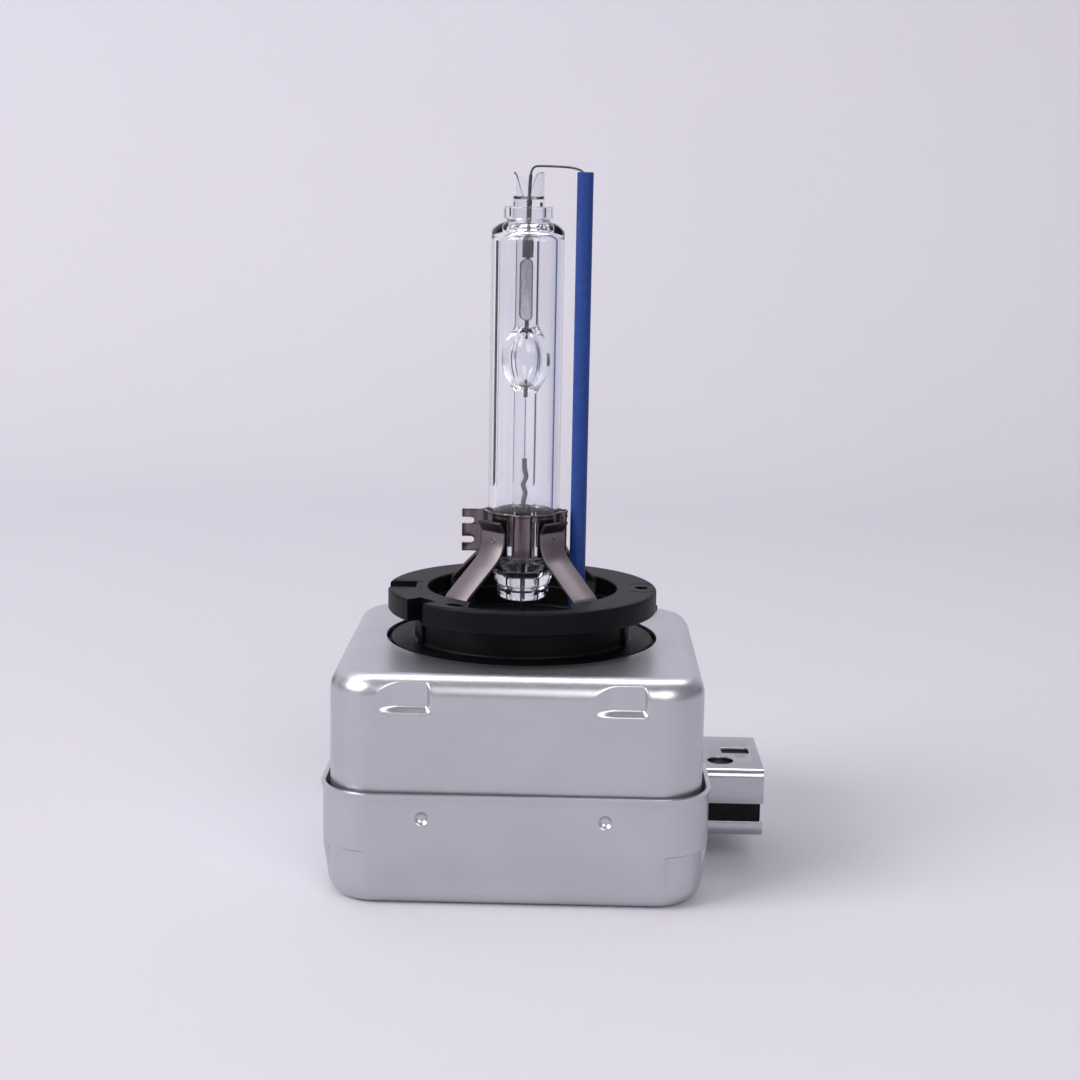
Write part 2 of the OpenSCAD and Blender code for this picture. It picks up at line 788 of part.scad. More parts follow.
// From the hot contact over the coil to its last section
module high_voltage_lead() {
    reach = norm([coil_x, hot_wire_z - coil_z]);
    fall = atan2(-coil_x, coil_z - hot_wire_z);
    color("firebrick") difference() {
        union() {
            rod(0, 0, hot_wire_z, contact_foot_z, hot_wire_r);
            translate([0, 0, hot_wire_z]) sphere(r = hot_wire_r, $fn = 24);
            translate([0, 0, hot_wire_z]) rotate([-90, 0, 0]) cylinder(r = hot_wire_r, h = hot_wire_y);
            translate([0, hot_wire_y, hot_wire_z]) sphere(r = hot_wire_r, $fn = 24);
            translate([0, hot_wire_y, hot_wire_z]) rotate([0, -fall, 0])
                cylinder(r = hot_wire_r, h = reach - winding_r + 0.5);
        }
        along_coil(section_y(sections - 1), section_y(sections), winding_r);
    }
}

// A flat bar of the lead frame from one corner to the other
module strip(low, high) {
    block([low[0], low[1], strip_z], [high[0], high[1], strip_z + strip_t]);
}

// A post from the lead frame up to a winding, cut to its round side
module winding_post(i, r) {
    y = section_y(i) + flange_disc_t + 1.4 - box_shift;
    difference() {
        block([coil_x - strip_w, y, strip_z], [coil_x, y + strip_w, coil_z - r + 0.4]);
        along_coil(section_y(i) - over, section_y(i + 1) + over, r);
    }
}

module supply_strip() {
    cap_post_y = cap_y + cap_d / 2 - box_shift - 2 * strip_w;
    color("darkorange") {
        strip([coil_x - strip_w, -strip_w / 2], [strip_end, strip_w / 2]);
        strip([coil_x - strip_w, section_y(0) + 2 * flange_disc_t - box_shift], [coil_x, strip_w / 2]);
        strip([cap_x - cap_w / 2 + 1, cap_post_y], [cap_x - cap_w / 2 + 1 + strip_w, 0]);
        block([cap_x - cap_w / 2 + 1, cap_post_y, strip_z],
            [cap_x - cap_w / 2 + 1 + strip_w, cap_post_y + strip_w, cap_z]);
        winding_post(0, primary_r);
        winding_post(1, winding_r);
    }
}

module return_strip() {
    upright_y = pin_pitch - strip_w / 2;
    color("darkorange") {
        strip([return_x - strip_w / 2, upright_y], [strip_end, pin_pitch + strip_w / 2]);
        block([return_x - strip_w / 2, upright_y, strip_z],
            [return_x + strip_w / 2, upright_y + strip_t, terminal_foot_z]);
        block([return_x - strip_w / 2, -strip_w / 2, terminal_foot_z - strip_t],
            [return_x + strip_w / 2, upright_y + strip_t, terminal_foot_z]);
    }
}

// Joins the trigger pin to the capacitor, the resistor and the spark gap
module trigger_strip() {
    x0 = gap_x - strip_w / 2;
    x1 = gap_x + strip_w / 2;
    upright_y = cap_y + cap_d / 2 - box_shift + 0.1;
    color("darkorange") {
        strip([x0, -pin_pitch - strip_w / 2], [strip_end, strip_w / 2 - pin_pitch]);
        block([x0, -pin_pitch - strip_w / 2, strip_z], [x1, upright_y - 0.2, cap_z]);
        block([x0, upright_y, strip_z], [x1, upright_y + strip_t, gap_z + strip_t]);
        block([x0, upright_y, resistor_top], [x1, resistor_r, resistor_top + strip_t]);
        block([x0, upright_y, gap_z], [x1, gap_y - gap_l / 2, gap_z + strip_t]);
    }
}

// Joins the spark gap to the primary winding, one level above the others
module gap_strip() {
    y1 = gap_y + gap_l / 2;
    y0 = section_y(0) + flange_disc_t + 1.4 - box_shift;
    color("darkorange") difference() {
        union() {
            block([gap_x - strip_w / 2, y1, bridge_z], [gap_x + strip_w / 2, y1 + strip_t, gap_z]);
            block([bridge_x, y1 - strip_w, bridge_z],
                [gap_x + strip_w / 2, y1 + strip_t, bridge_z + strip_t]);
            block([bridge_x, y0, bridge_z], [bridge_x + bridge_w, y1, bridge_z + strip_t]);
            block([bridge_x, y0, bridge_z], [bridge_x + strip_t, y0 + strip_w, coil_z + strip_t]);
            block([coil_x + primary_r - 0.5, y0, coil_z],
                [bridge_x + strip_t, y0 + strip_w, coil_z + strip_t]);
        }
        along_coil(section_y(0) - over, section_y(1) + over, primary_r);
    }
}

// A connector pin: the blade in the socket and its foot on the lead frame
module pin(y) {
    s = pin_side / 2;
    block([pin_x0, y - s, pin_z - s], [pin_x1, y + s, pin_z + s]);
    block([pin_x0, y - s, strip_z + strip_t], [pin_x0 + pin_side, y + s, pin_z + s]);
}

module supply_pin() {
    color("gold") pin(0);
}

module return_pin() {
    color("gold") pin(pin_pitch);
}

module trigger_pin() {
    color("gold") pin(-pin_pitch);
}

module connector_body() {
    side = plug_w / 2 - shield_t;
    color([0.1, 0.1, 0.11]) difference() {
        union() {
            rounded_bar(plug_x0, plug_x1 - 0.3, shield_t);
            block([plug_x0 - case_wall, tongue_inset - plug_w / 2, plug_foot + tongue_inset],
                [plug_x0, plug_w / 2 - tongue_inset, plug_top - tongue_inset]);
        }
        block([socket_x0, socket_wall - side, plug_foot + shield_t + socket_wall],
            [plug_x1 + over, side - socket_wall, plug_top - shield_t - socket_wall]);
        for (y = [-pin_pitch, 0, pin_pitch]) {
            block([pin_x0 - over, y - pin_side / 2, pin_z - pin_side / 2],
                [socket_x0 + over, y + pin_side / 2, pin_z + pin_side / 2]);
        }
    }
}

// A bar along X with the outline of the connector, less an inset all round
module rounded_bar(x0, x1, inset) {
    y1 = plug_w / 2 - inset;
    r = plug_round - inset;
    z0 = plug_foot + inset;
    z1 = plug_top - inset;
    block([x0, r - y1, z0], [x1, y1 - r, z1]);
    block([x0, -y1, z0 + r], [x1, y1, z1 - r]);
    for (y = [r - y1, y1 - r], z = [z0 + r, z1 - r]) {
        translate([x0, y, z]) rotate([0, 90, 0]) cylinder(r = r, h = x1 - x0);
    }
}

// The whole shield before it is split into its upper and lower halves
module shield_ring() {
    difference() {
        rounded_bar(shield_x0, plug_x1, 0);
        rounded_bar(shield_x0 - over, plug_x1 + over, shield_t);
    }
}

module upper_shield() {
    color("lightgray") difference() {
        intersection() {
            shield_ring();
            block([plug_x0, -plug_w, plug_top - shield_side], [plug_x1 + 1, plug_w, plug_top + 1]);
        }
        block([lock_x - lock_w / 2, lock_y - lock_d / 2, plug_mid],
            [lock_x + lock_w / 2, lock_y + lock_d / 2, plug_top + 1]);
        rod(eye_x, eye_y, plug_mid, plug_top + 1, eye_r);
    }
}

module lower_shield() {
    color("lightgray") intersection() {
        shield_ring();
        block([plug_x0, -plug_w, plug_foot - 1], [plug_x1 + 1, plug_w, plug_foot + lip_side]);
    }
}

outer_bulb();
arc_tube();
halide_dose();
upper_electrode();
lower_electrode();
upper_foil();
lower_foil();
upper_lead();
lower_lead();
return_wire();
return_tube();
clamp_band();
leg_front_left();
leg_front_right();
leg_rear_left();
leg_rear_right();
leg_ring();
base_body();
hot_contact();
return_terminal();
upper_can();
lower_can();
igniter_case();
potting_layer();
coil_bobbin();
ferrite_core();
secondary_winding();
primary_winding();
spark_gap_tube();
spark_gap_electrodes();
ignition_capacitor();
bleeder_resistor();
high_voltage_lead();
supply_strip();
return_strip();
trigger_strip();
gap_strip();
connector_body();
upper_shield();
lower_shield();
supply_pin();
return_pin();
trigger_pin();
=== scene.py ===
"""A gas-discharge headlight lamp with its igniter box, built round its packed frame.

Lengths inside the shaping code are in millimetres, in the frame's own axes: Z is the lamp axis and points
to the tip, the flange top is at Z = 0 and the connector points along +X. Meshes are scaled to metres as
they are made.
"""

import math

import bmesh
import bpy
from bpy.props import FloatProperty, FloatVectorProperty, PointerProperty
from mathutils import Matrix, Vector


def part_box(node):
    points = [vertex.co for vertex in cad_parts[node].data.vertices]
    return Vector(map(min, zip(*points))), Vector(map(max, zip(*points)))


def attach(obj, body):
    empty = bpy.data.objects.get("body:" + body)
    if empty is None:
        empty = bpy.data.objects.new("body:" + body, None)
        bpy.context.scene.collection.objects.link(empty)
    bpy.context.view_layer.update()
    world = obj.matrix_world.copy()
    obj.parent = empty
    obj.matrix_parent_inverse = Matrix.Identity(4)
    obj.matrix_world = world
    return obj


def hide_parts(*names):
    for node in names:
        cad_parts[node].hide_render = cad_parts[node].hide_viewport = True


bl_info = {
    "name": "Discharge Headlight Lamp",
    "version": (1, 0, 0),
    "blender": (4, 5, 0),
    "location": "3D View > Sidebar > Lamp",
    "description": "Builds the shells, glass, spring steel and socket of a discharge lamp round its frame",
    "category": "Add Mesh",
}

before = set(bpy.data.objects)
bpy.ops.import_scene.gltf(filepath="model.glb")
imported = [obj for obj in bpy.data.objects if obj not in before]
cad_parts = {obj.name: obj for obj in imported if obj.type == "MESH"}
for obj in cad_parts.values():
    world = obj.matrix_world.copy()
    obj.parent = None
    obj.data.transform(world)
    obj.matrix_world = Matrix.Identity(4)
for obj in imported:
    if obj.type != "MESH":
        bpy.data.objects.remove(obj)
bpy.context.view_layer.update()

MM = 0.001
ROOT = "root"
FRONT, RIGHT, BACK, LEFT = -90, 0, 90, 180
# thickness of the clamp's strip, and how far the legs' middle stands in from the edge of the well
STRIP = 0.3
LEG_INSET = 0.66


# ---------------------------------------------------------------- numbers

def linear(hex_colour):
    """An sRGB hex colour as linear red, green, blue and alpha."""
    parts = [int(hex_colour[i:i + 2], 16) / 255 for i in (0, 2, 4)]
    return [c / 12.92 if c <= 0.04045 else ((c + 0.055) / 1.055) ** 2.4 for c in parts] + [1.0]


def node_box(node):
    """Lowest and highest corner of a frame node, in millimetres."""
    low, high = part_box(node)
    return low / MM, high / MM


def smooth_step(value, start, end):
    """0 before start, 1 after end, with a soft change between them."""
    t = min(max((value - start) / (end - start), 0.0), 1.0)
    return t * t * (3 - 2 * t)


def arc(x, y, radius, first, last, steps):
    """Points on an arc about (x, y), from one angle in degrees to another."""
    angles = [math.radians(first + (last - first) * i / steps) for i in range(steps + 1)]
    return [(x + radius * math.cos(a), y + radius * math.sin(a)) for a in angles]


def rounded(corners, closed=True, steps=5):
    """An outline of (x, y, radius) corners, with a round of that radius at each corner."""
    outline = []
    count = len(corners)
    for i, (x, y, radius) in enumerate(corners):
        here = Vector((x, y))
        if radius == 0 or (not closed and i in (0, count - 1)):
            outline.append((x, y))
            continue
        before = (Vector(corners[i - 1][:2]) - here).normalized()
        after = (Vector(corners[(i + 1) % count][:2]) - here).normalized()
        half = before.angle(after) / 2
        centre = here + (before + after).normalized() * radius / math.sin(half)
        first = here + before * radius / math.tan(half) - centre
        turn = first.angle_signed(here + after * radius / math.tan(half) - centre)
        for k in range(steps + 1):
            outline.append(tuple(centre + Matrix.Rotation(-turn * k / steps, 2) @ first))
    return outline


def lines(low, high, coarse, *fine):
    """Grid lines from low to high at a coarse step, with finer (start, end, step) stretches."""
    count = max(1, math.ceil((high - low) / coarse))
    found = {round(low + (high - low) * i / count, 4) for i in range(count + 1)}
    for start, end, step in fine:
        first, last = max(start, low), min(end, high)
        if last > first:
            count = max(1, math.ceil((last - first) / step))
            found = {v for v in found if v <= first or v >= last or v in (low, high)}
            found |= {round(first + (last - first) * i / count, 4) for i in range(count + 1)}
    return sorted(found)


def flowing(points, steps=8):
    """A smooth line through points in space."""
    path = [Vector(p) for p in points]
    line = []
    for i in range(len(path) - 1):
        a, b = path[max(i - 1, 0)], path[i]
        c, d = path[i + 1], path[min(i + 2, len(path) - 1)]
        for k in range(steps):
            t = k / steps
            line.append(0.5 * (2 * b + (c - a) * t + (2 * a - 5 * b + 4 * c - d) * t ** 2
                               + (3 * b - a - 3 * c + d) * t ** 3))
    return line + [path[-1]]


# ---------------------------------------------------------------- meshes

def new_object(name, points, faces, edges=()):
    """An object in the scene from points in millimetres."""
    mesh = bpy.data.meshes.new(name)
    mesh.from_pydata([tuple(Vector(p) * MM) for p in points], list(edges), faces)
    mesh.update()
    piece = bpy.data.objects.new(name, mesh)
    bpy.context.scene.collection.objects.link(piece)
    return piece


def skin(name, rows, closed=True, start_cap=False, end_cap=False):
    """A surface over rows of points. Rows run upwards with their points anticlockwise for outward faces."""
    count = len(rows[0])
    points = [p for row in rows for p in row]
    span = count if closed else count - 1
    faces = [
        (i * count + j, i * count + (j + 1) % count, (i + 1) * count + (j + 1) % count, (i + 1) * count + j)
        for i in range(len(rows) - 1) for j in range(span)
    ]
    if start_cap:
        faces.append(tuple(reversed(range(count))))
    if end_cap:
        faces.append(tuple((len(rows) - 1) * count + j for j in range(count)))
    return new_object(name, points, faces)


def held(outline):
    """A closed outline with a point just inside both ends of each long straight, so shading stays true."""
    found = []
    for i, start in enumerate(outline):
        run = Vector(outline[(i + 1) % len(outline)]) - Vector(start)
        found.append(start)
        if run.length > 0.8:
            inside = run.normalized() * 0.08
            found += [tuple(Vector(start) + inside), tuple(Vector(start) + run - inside)]
    return found


def turned(name, outlines, segments=96, centre=(0, 0), shift=None):
    """A solid turned about an upright axis from closed (radius, height) outlines.

    An outline that runs anticlockwise is a body and one that runs clockwise is a hollow in it. shift gives
    the change of height at a radius, a height and an angle.
    """
    points, faces = [], []
    for outline in map(held, outlines):
        starts = []
        for radius, height in outline:
            starts.append(len(points))
            for j in range(segments if radius > 1e-6 else 1):
                angle = 2 * math.pi * j / segments
                lift = shift(radius, height, angle) if shift else 0
                points.append((centre[0] + radius * math.cos(angle),
                               centre[1] + radius * math.sin(angle), height + lift))
        for i, first in enumerate(starts):
            k = (i + 1) % len(starts)
            last = starts[k]
            on_axis = (outline[i][0] <= 1e-6, outline[k][0] <= 1e-6)
            for j in range(segments if on_axis != (True, True) else 0):
                n = (j + 1) % segments
                if on_axis[0]:
                    faces.append((first, last + n, last + j))
                elif on_axis[1]:
                    faces.append((first + j, first + n, last))
                else:
                    faces.append((first + j, first + n, last + n, last + j))
    return new_object(name, points, faces)


def prism(name, outline, low, high):
    """A solid cutter from an anticlockwise (x, y) outline between two heights."""
    rows = [[(x, y, z) for x, y in outline] for z in (low, high)]
    return skin(name, rows, start_cap=True, end_cap=True)


def cross_prism(name, outline, half):
    """A solid from an anticlockwise (x, z) outline, across Y by half its width each way."""
    piece = prism(name, outline, -half, half)
    piece.data.transform(Matrix.Rotation(math.pi / 2, 4, "X"))
    return piece


def slab(low, high):
    """A plain block used as a cutter, given by its lowest and highest corners."""
    outline = [(low[0], low[1]), (high[0], low[1]), (high[0], high[1]), (low[0], high[1])]
    return prism("cutter", outline, low[2], high[2])


def spun(piece, degrees):
    """A piece turned about the lamp axis, in its own mesh."""
    piece.data.transform(Matrix.Rotation(math.radians(degrees), 4, "Z"))
    return piece


def disc(x, y, radius, low, high, steps=32, stretch=1.0, turn=0.0):
    """A round or oval cutter, stretched along a direction in degrees."""
    spin = Matrix.Rotation(math.radians(turn), 2)
    ring = [Vector((px * stretch, py)) for px, py in arc(0, 0, radius, 0, 360, steps)[:-1]]
    return prism("cutter", [tuple(spin @ p + Vector((x, y))) for p in ring], low, high)


def arc_bar(x, y, radius, width, first, last, low, high):
    """A curved bar used as a cutter, along an arc about (x, y)."""
    outer = arc(x, y, radius + width / 2, first, last, 12)
    inner = arc(x, y, radius - width / 2, last, first, 12)
    return prism("cutter", outer + inner, low, high)


def add_modifier(piece, kind, **settings):
    """Adds a modifier with its settings."""
    modifier = piece.modifiers.new(kind.title(), kind)
    for name, value in settings.items():
        setattr(modifier, name, value)
    return modifier


def bevelled(piece, width, angle=30):
    """A piece with its edges sharper than an angle bevelled, as its plain mesh."""
    add_modifier(piece, "BEVEL", width=width * MM, segments=2, limit_method="ANGLE",
                 angle_limit=math.radians(angle))
    return settle(piece)


def settle(piece):
    """Turns the evaluated piece into its plain mesh and drops its modifiers."""
    evaluated = piece.evaluated_get(bpy.context.evaluated_depsgraph_get())
    mesh = bpy.data.meshes.new_from_object(evaluated)
    piece.modifiers.clear()
    piece.data = mesh
    mesh.name = piece.name
    return piece


def cut(piece, cutters):
    """Takes the cutters out of a piece and removes them."""
    for cutter in cutters:
        add_modifier(piece, "BOOLEAN", object=cutter, operation="DIFFERENCE", solver="EXACT")
    settle(piece)
    for cutter in cutters:
        bpy.data.objects.remove(cutter)
    return piece


def join(name, parts):
    """Several objects' meshes as one object."""
    work = bmesh.new()
    for part in parts:
        work.from_mesh(part.data)
        bpy.data.objects.remove(part)
    mesh = bpy.data.meshes.new(name)
    work.to_mesh(mesh)
    work.free()
    piece = bpy.data.objects.new(name, mesh)
    bpy.context.scene.collection.objects.link(piece)
    return piece


def finish_piece(piece, material, slot, *nodes, sharp=35):
    """Smooth shading with sharp edges kept, the finish, and the piece's place in the frame."""
    piece.data.shade_smooth()
    piece.data.set_sharp_from_angle(angle=math.radians(sharp))
    if material is not None:
        piece.data.materials.clear()
        piece.data.materials.append(material)
    if nodes:
        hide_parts(*nodes)
    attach(piece, ROOT)
    return piece


# ---------------------------------------------------------------- finishes

def add_node(tree, kind, inputs=None, **settings):
    """Adds a node with its settings; an input is a value or another node's output."""
    node = tree.nodes.new(kind)
    for name, value in settings.items():
        setattr(node, name, value)
    for name, value in (inputs or {}).items():
        if isinstance(value, bpy.types.NodeSocket):
            tree.links.new(value, node.inputs[name])
        else:
            node.inputs[name].default_value = value
    return node


def new_finish(name):
    """An empty material with its node tree."""
    material = bpy.data.materials.new(name)
    material.use_nodes = True
    material.node_tree.nodes.clear()
    return material, material.node_tree


def grain(tree, size, stretch=(1, 1, 1), detail=3.0):
    """A noise whose grains are about a size in millimetres, drawn out along an axis."""
    place = add_node(tree, "ShaderNodeTexCoord")
    scaled = add_node(tree, "ShaderNodeMapping", {"Vector": place.outputs["Object"], "Scale": stretch})
    return add_node(tree, "ShaderNodeTexNoise", {
        "Vector": scaled.outputs["Vector"], "Scale": 1 / (size * MM), "Detail": detail,
    }).outputs["Fac"]


def spread(tree, value, low, high):
    """Turns a noise from about 0.3 to 0.7 into a stretch of values."""
    return add_node(tree, "ShaderNodeMapRange", {
        "Value": value, "From Min": 0.3, "From Max": 0.7, "To Min": low, "To Max": high,
    }).outputs["Result"]


def tinted(tree, value, dark, light):
    """A colour between two, by a value."""
    mix = tree.nodes.new("ShaderNodeMix")
    mix.data_type = "RGBA"
    # in its colour form this node takes its colours in sockets 6 and 7 and gives them in 2
    for socket, given in ((0, value), (6, dark), (7, light)):
        if isinstance(given, bpy.types.NodeSocket):
            tree.links.new(given, mix.inputs[socket])
        else:
            mix.inputs[socket].default_value = given
    return mix.outputs[2]


def surfaced(name, dark, light, roughness, size, depth, stretch=(1, 1, 1), blotch=6.0, metallic=0.0,
             **extra):
    """A solid finish: a colour that drifts over blotches and a fine grain that roughens and dents it.

    size is the grain and blotch the colour drift, both in millimetres; depth is the grain's height in
    millimetres; roughness is its lowest and highest value.
    """
    material, tree = new_finish(name)
    fine = grain(tree, size, stretch)
    drift = spread(tree, grain(tree, blotch, stretch), 0, 1)
    bump = add_node(tree, "ShaderNodeBump", {
        "Height": fine, "Distance": depth * MM, "Strength": 1.0,
    })
    inputs = {
        "Base Color": tinted(tree, drift, dark, light),
        "Roughness": spread(tree, fine, *roughness),
        "Metallic": metallic,
        "Normal": bump.outputs["Normal"],
    }
    inputs.update({key.replace("_", " "): value for key, value in extra.items()})
    shader = add_node(tree, "ShaderNodeBsdfPrincipled", inputs)
    add_node(tree, "ShaderNodeOutputMaterial", {"Surface": shader.outputs["BSDF"]})
    return material


def shade(colour, share):
    """A linear colour made darker or lighter by a share."""
    return [min(1.0, c * share) for c in colour[:3]] + [1.0]


def satin_aluminium(colour):
    """Deep-drawn aluminium sheet, tumbled: an even satin sheen with a fine grit and soft cloudy drift."""
    return surfaced("Satin Aluminium", shade(colour, 0.96), shade(colour, 1.04), (0.29, 0.38),
                    size=0.35, depth=0.0007, blotch=9, metallic=1.0)


def moulded_black(colour):
    """Glass-filled PPS, moulded: near black, half dull, with a faint fibre grain."""
    return surfaced("Moulded Black PPS", shade(colour, 0.8), shade(colour, 1.4), (0.38, 0.54),
                    size=0.3, depth=0.005, blotch=2.5, Specular_IOR_Level=0.12)


def spring_steel(colour):
    """Stainless spring strip, cold rolled: a soft mirror with brown and bright streaks along the lamp."""
    return surfaced("Cold-Rolled Stainless Steel", shade(colour, 0.35), shade(colour, 1.5), (0.16, 0.26),
                    size=0.16, depth=0.0004, stretch=(1, 1, 0.05), blotch=0.9, metallic=1.0)


def leg_steel(colour, lip_z):
    """Stainless spring strip, annealed: dull rose grey, burnt dark by the weld from the lip's fold up."""
    material = surfaced("Annealed Stainless Steel", shade(colour, 0.9), shade(colour, 1.08), (0.36, 0.46),
                        size=0.16, depth=0.0012, stretch=(1, 1, 0.2), blotch=2.0, metallic=1.0)
    tree = material.node_tree
    shader = next(n for n in tree.nodes if n.type == "BSDF_PRINCIPLED")
    steel = shader.inputs["Base Color"].links[0].from_socket
    # painted shade: the strip turns dark from just below the lip's fold up, standing in for the shade under
    # the lip
    place = add_node(tree, "ShaderNodeTexCoord")
    height = add_node(tree, "ShaderNodeSeparateXYZ", {0: place.outputs["Object"]})
    lip_shade_colour = shade(colour, 0.12)
    lip_shade = add_node(tree, "ShaderNodeMapRange", {
        "Value": height.outputs["Z"], "From Min": (lip_z - 0.1) * MM, "From Max": (lip_z + 0.25) * MM,
        "To Min": 0.0, "To Max": 0.85,
    })
    tree.links.new(tinted(tree, lip_shade.outputs["Result"], steel, lip_shade_colour), shader.inputs["Base Color"])
    return material


def nickel_plate(colour):
    """Steel sheet, nickel plated: a soft mirror with faint rolling marks along the connector."""
    return surfaced("Nickel-Plated Steel", shade(colour, 0.95), shade(colour, 1.04), (0.2, 0.28),
                    size=0.15, depth=0.0003, stretch=(0.08, 1, 1), blotch=1.5, metallic=1.0)


def blue_ceramic(colour):
    """Alumina tube, dyed blue and fired unglazed: matt with a powdery grain and darker specks."""
    return surfaced("Fired Blue Alumina", shade(colour, 0.88), shade(colour, 1.12), (0.4, 0.55),
                    size=0.14, depth=0.003, blotch=0.8, Specular_IOR_Level=0.35)


def quartz_glass():
    """Fused quartz, fire polished: clear and smooth, and it lets the lamps' light through."""
    material, tree = new_finish("Fused Quartz")
    glass = add_node(tree, "ShaderNodeBsdfPrincipled", {
        "Base Color": linear("fcfdff"), "Roughness": 0.0, "IOR": 1.46, "Transmission Weight": 1.0,
    })
    clear = add_node(tree, "ShaderNodeBsdfTransparent", {"Color": linear("f6f8fb")})
    ray = add_node(tree, "ShaderNodeLightPath")
    mixed = add_node(tree, "ShaderNodeMixShader", {
        "Fac": ray.outputs["Is Shadow Ray"], 1: glass.outputs["BSDF"], 2: clear.outputs["BSDF"],
    })
    add_node(tree, "ShaderNodeOutputMaterial", {"Surface": mixed.outputs["Shader"]})
    return material


def etched_foil():
    """Molybdenum foil, rolled and etched: a grey mirror, oxidised dark along its feathered edge."""
    material, tree = new_finish("Etched Molybdenum Foil")
    rim = add_node(tree, "ShaderNodeAttribute", attribute_name="rim")
    streaks = grain(tree, 0.3, (1, 1, 0.1))
    shaded = add_node(tree, "ShaderNodeMath", {0: rim.outputs["Fac"], 1: spread(tree, streaks, -0.15, 0.15)},
                      operation="ADD", use_clamp=True)
    shader = add_node(tree, "ShaderNodeBsdfPrincipled", {
        "Base Color": tinted(tree, shaded.outputs[0], linear("c9c6cc"), linear("262429")),
        "Roughness": spread(tree, streaks, 0.2, 0.3), "Metallic": 1.0,
    })
    add_node(tree, "ShaderNodeOutputMaterial", {"Surface": shader.outputs["BSDF"]})
    return material


# Finishes of the frame nodes that keep their own shape. Each row is the finish's name, its dark and light
# colour, its roughness from and to, the grain and its depth in millimetres, how metallic it is, and the
# nodes that get it.
INNER_FINISHES = (
    # salts frozen to a glassy grey-yellow drop
    ("Frozen Metal Halide", "77716a", "a9a491", (0.15, 0.3), 0.2, 0.004, 0, ("halide_dose",)),
    # drawn nickel wire, dull grey
    ("Drawn Nickel Wire", "4b4a50", "6c6b72", (0.3, 0.45), 0.1, 0.002, 1, ("return_wire",)),
    # turned brass, bright
    ("Turned Brass", "a9853f", "c9a55c", (0.2, 0.35), 0.1, 0.002, 1, ("hot_contact", "return_terminal")),
    # epoxy cast by hand: glossy, with a slow ripple
    ("Cast Epoxy", "1d1713", "2c241e", (0.1, 0.25), 2.5, 0.05, 0, ("potting_layer",)),
    # PBT, moulded in cream
    ("Moulded Cream PBT", "c9bfa3", "d8cfb6", (0.35, 0.5), 0.3, 0.004, 0, ("coil_bobbin",)),
    # pressed and sintered ferrite: dark, gritty
    ("Sintered Ferrite", "232226", "36343a", (0.5, 0.75), 0.25, 0.012, 0, ("ferrite_core",)),
    # enamelled copper wire
    ("Enamelled Copper", "7a3413", "a3501f", (0.25, 0.4), 0.4, 0.01, 1,
     ("secondary_winding", "primary_winding")),
    # stamped copper-iron strip with a tin flash
    ("Stamped Copper Strip", "a86a3e", "c98d5f", (0.25, 0.4), 0.15, 0.002, 1,
     ("supply_strip", "return_strip", "trigger_strip", "gap_strip")),
    # fired white alumina, unglazed
    ("Fired White Alumina", "dcd9d2", "ece9e3", (0.45, 0.6), 0.2, 0.004, 0, ("spark_gap_tube",)),
    # drawn iron-nickel cup
    ("Drawn Iron-Nickel", "8d8a88", "a7a4a1", (0.25, 0.4), 0.15, 0.002, 1, ("spark_gap_electrodes",)),
    # polyester film block dipped in blue lacquer
    ("Dipped Blue Lacquer", "22406c", "2d5387", (0.15, 0.3), 0.8, 0.01, 0, ("ignition_capacitor",)),
    # lacquered ceramic rod
    ("Lacquered Tan Ceramic", "a58358", "bb9a6e", (0.3, 0.45), 0.3, 0.006, 0, ("bleeder_resistor",)),
    # silicone sleeve, extruded
    ("Extruded Red Silicone", "7d1f1a", "96302a", (0.4, 0.55), 0.3, 0.005, 0, ("high_voltage_lead",)),
    # stainless strip ring under the well
    ("Stamped Stainless Steel", "8b868c", "a29da3", (0.25, 0.4), 0.15, 0.002, 1, ("leg_ring",)),
)


# ---------------------------------------------------------------- geometry node trees

def open_tree(name, sockets):
    """A geometry tree with its input and output nodes and named inputs."""
    tree = bpy.data.node_groups.new(name, "GeometryNodeTree")
    tree.interface.new_socket("Geometry", in_out="INPUT", socket_type="NodeSocketGeometry")
    for label, kind, default in sockets:
        socket = tree.interface.new_socket(label, in_out="INPUT", socket_type=kind)
        if default is not None:
            socket.default_value = default
    tree.interface.new_socket("Geometry", in_out="OUTPUT", socket_type="NodeSocketGeometry")
    return tree, add_node(tree, "NodeGroupInput")


def close_tree(tree, geometry, material):
    """Ends a geometry tree in real meshes with their material."""
    real = add_node(tree, "GeometryNodeRealizeInstances", {"Geometry": geometry})
    done = add_node(tree, "GeometryNodeSetMaterial", {
        "Geometry": real.outputs["Geometry"], "Material": material,
    })
    add_node(tree, "NodeGroupOutput", {"Geometry": done.outputs["Geometry"]})
    return tree


def wire_tree():
    """A round wire along the path that the object's own edges give."""
    tree, given = open_tree("Wire Along Path", [
        ("Radius", "NodeSocketFloat", 0.2 * MM),
        ("Sides", "NodeSocketInt", 20),
        ("Material", "NodeSocketMaterial", None),
    ])
    path = add_node(tree, "GeometryNodeMeshToCurve", {"Mesh": given.outputs["Geometry"]})
    ring = add_node(tree, "GeometryNodeCurvePrimitiveCircle", {
        "Resolution": given.outputs["Sides"], "Radius": given.outputs["Radius"],
    })
    wire = add_node(tree, "GeometryNodeCurveToMesh", {
        "Curve": path.outputs["Curve"], "Profile Curve": ring.outputs["Curve"], "Fill Caps": True,
    })
    return close_tree(tree, wire.outputs["Mesh"], given.outputs["Material"])


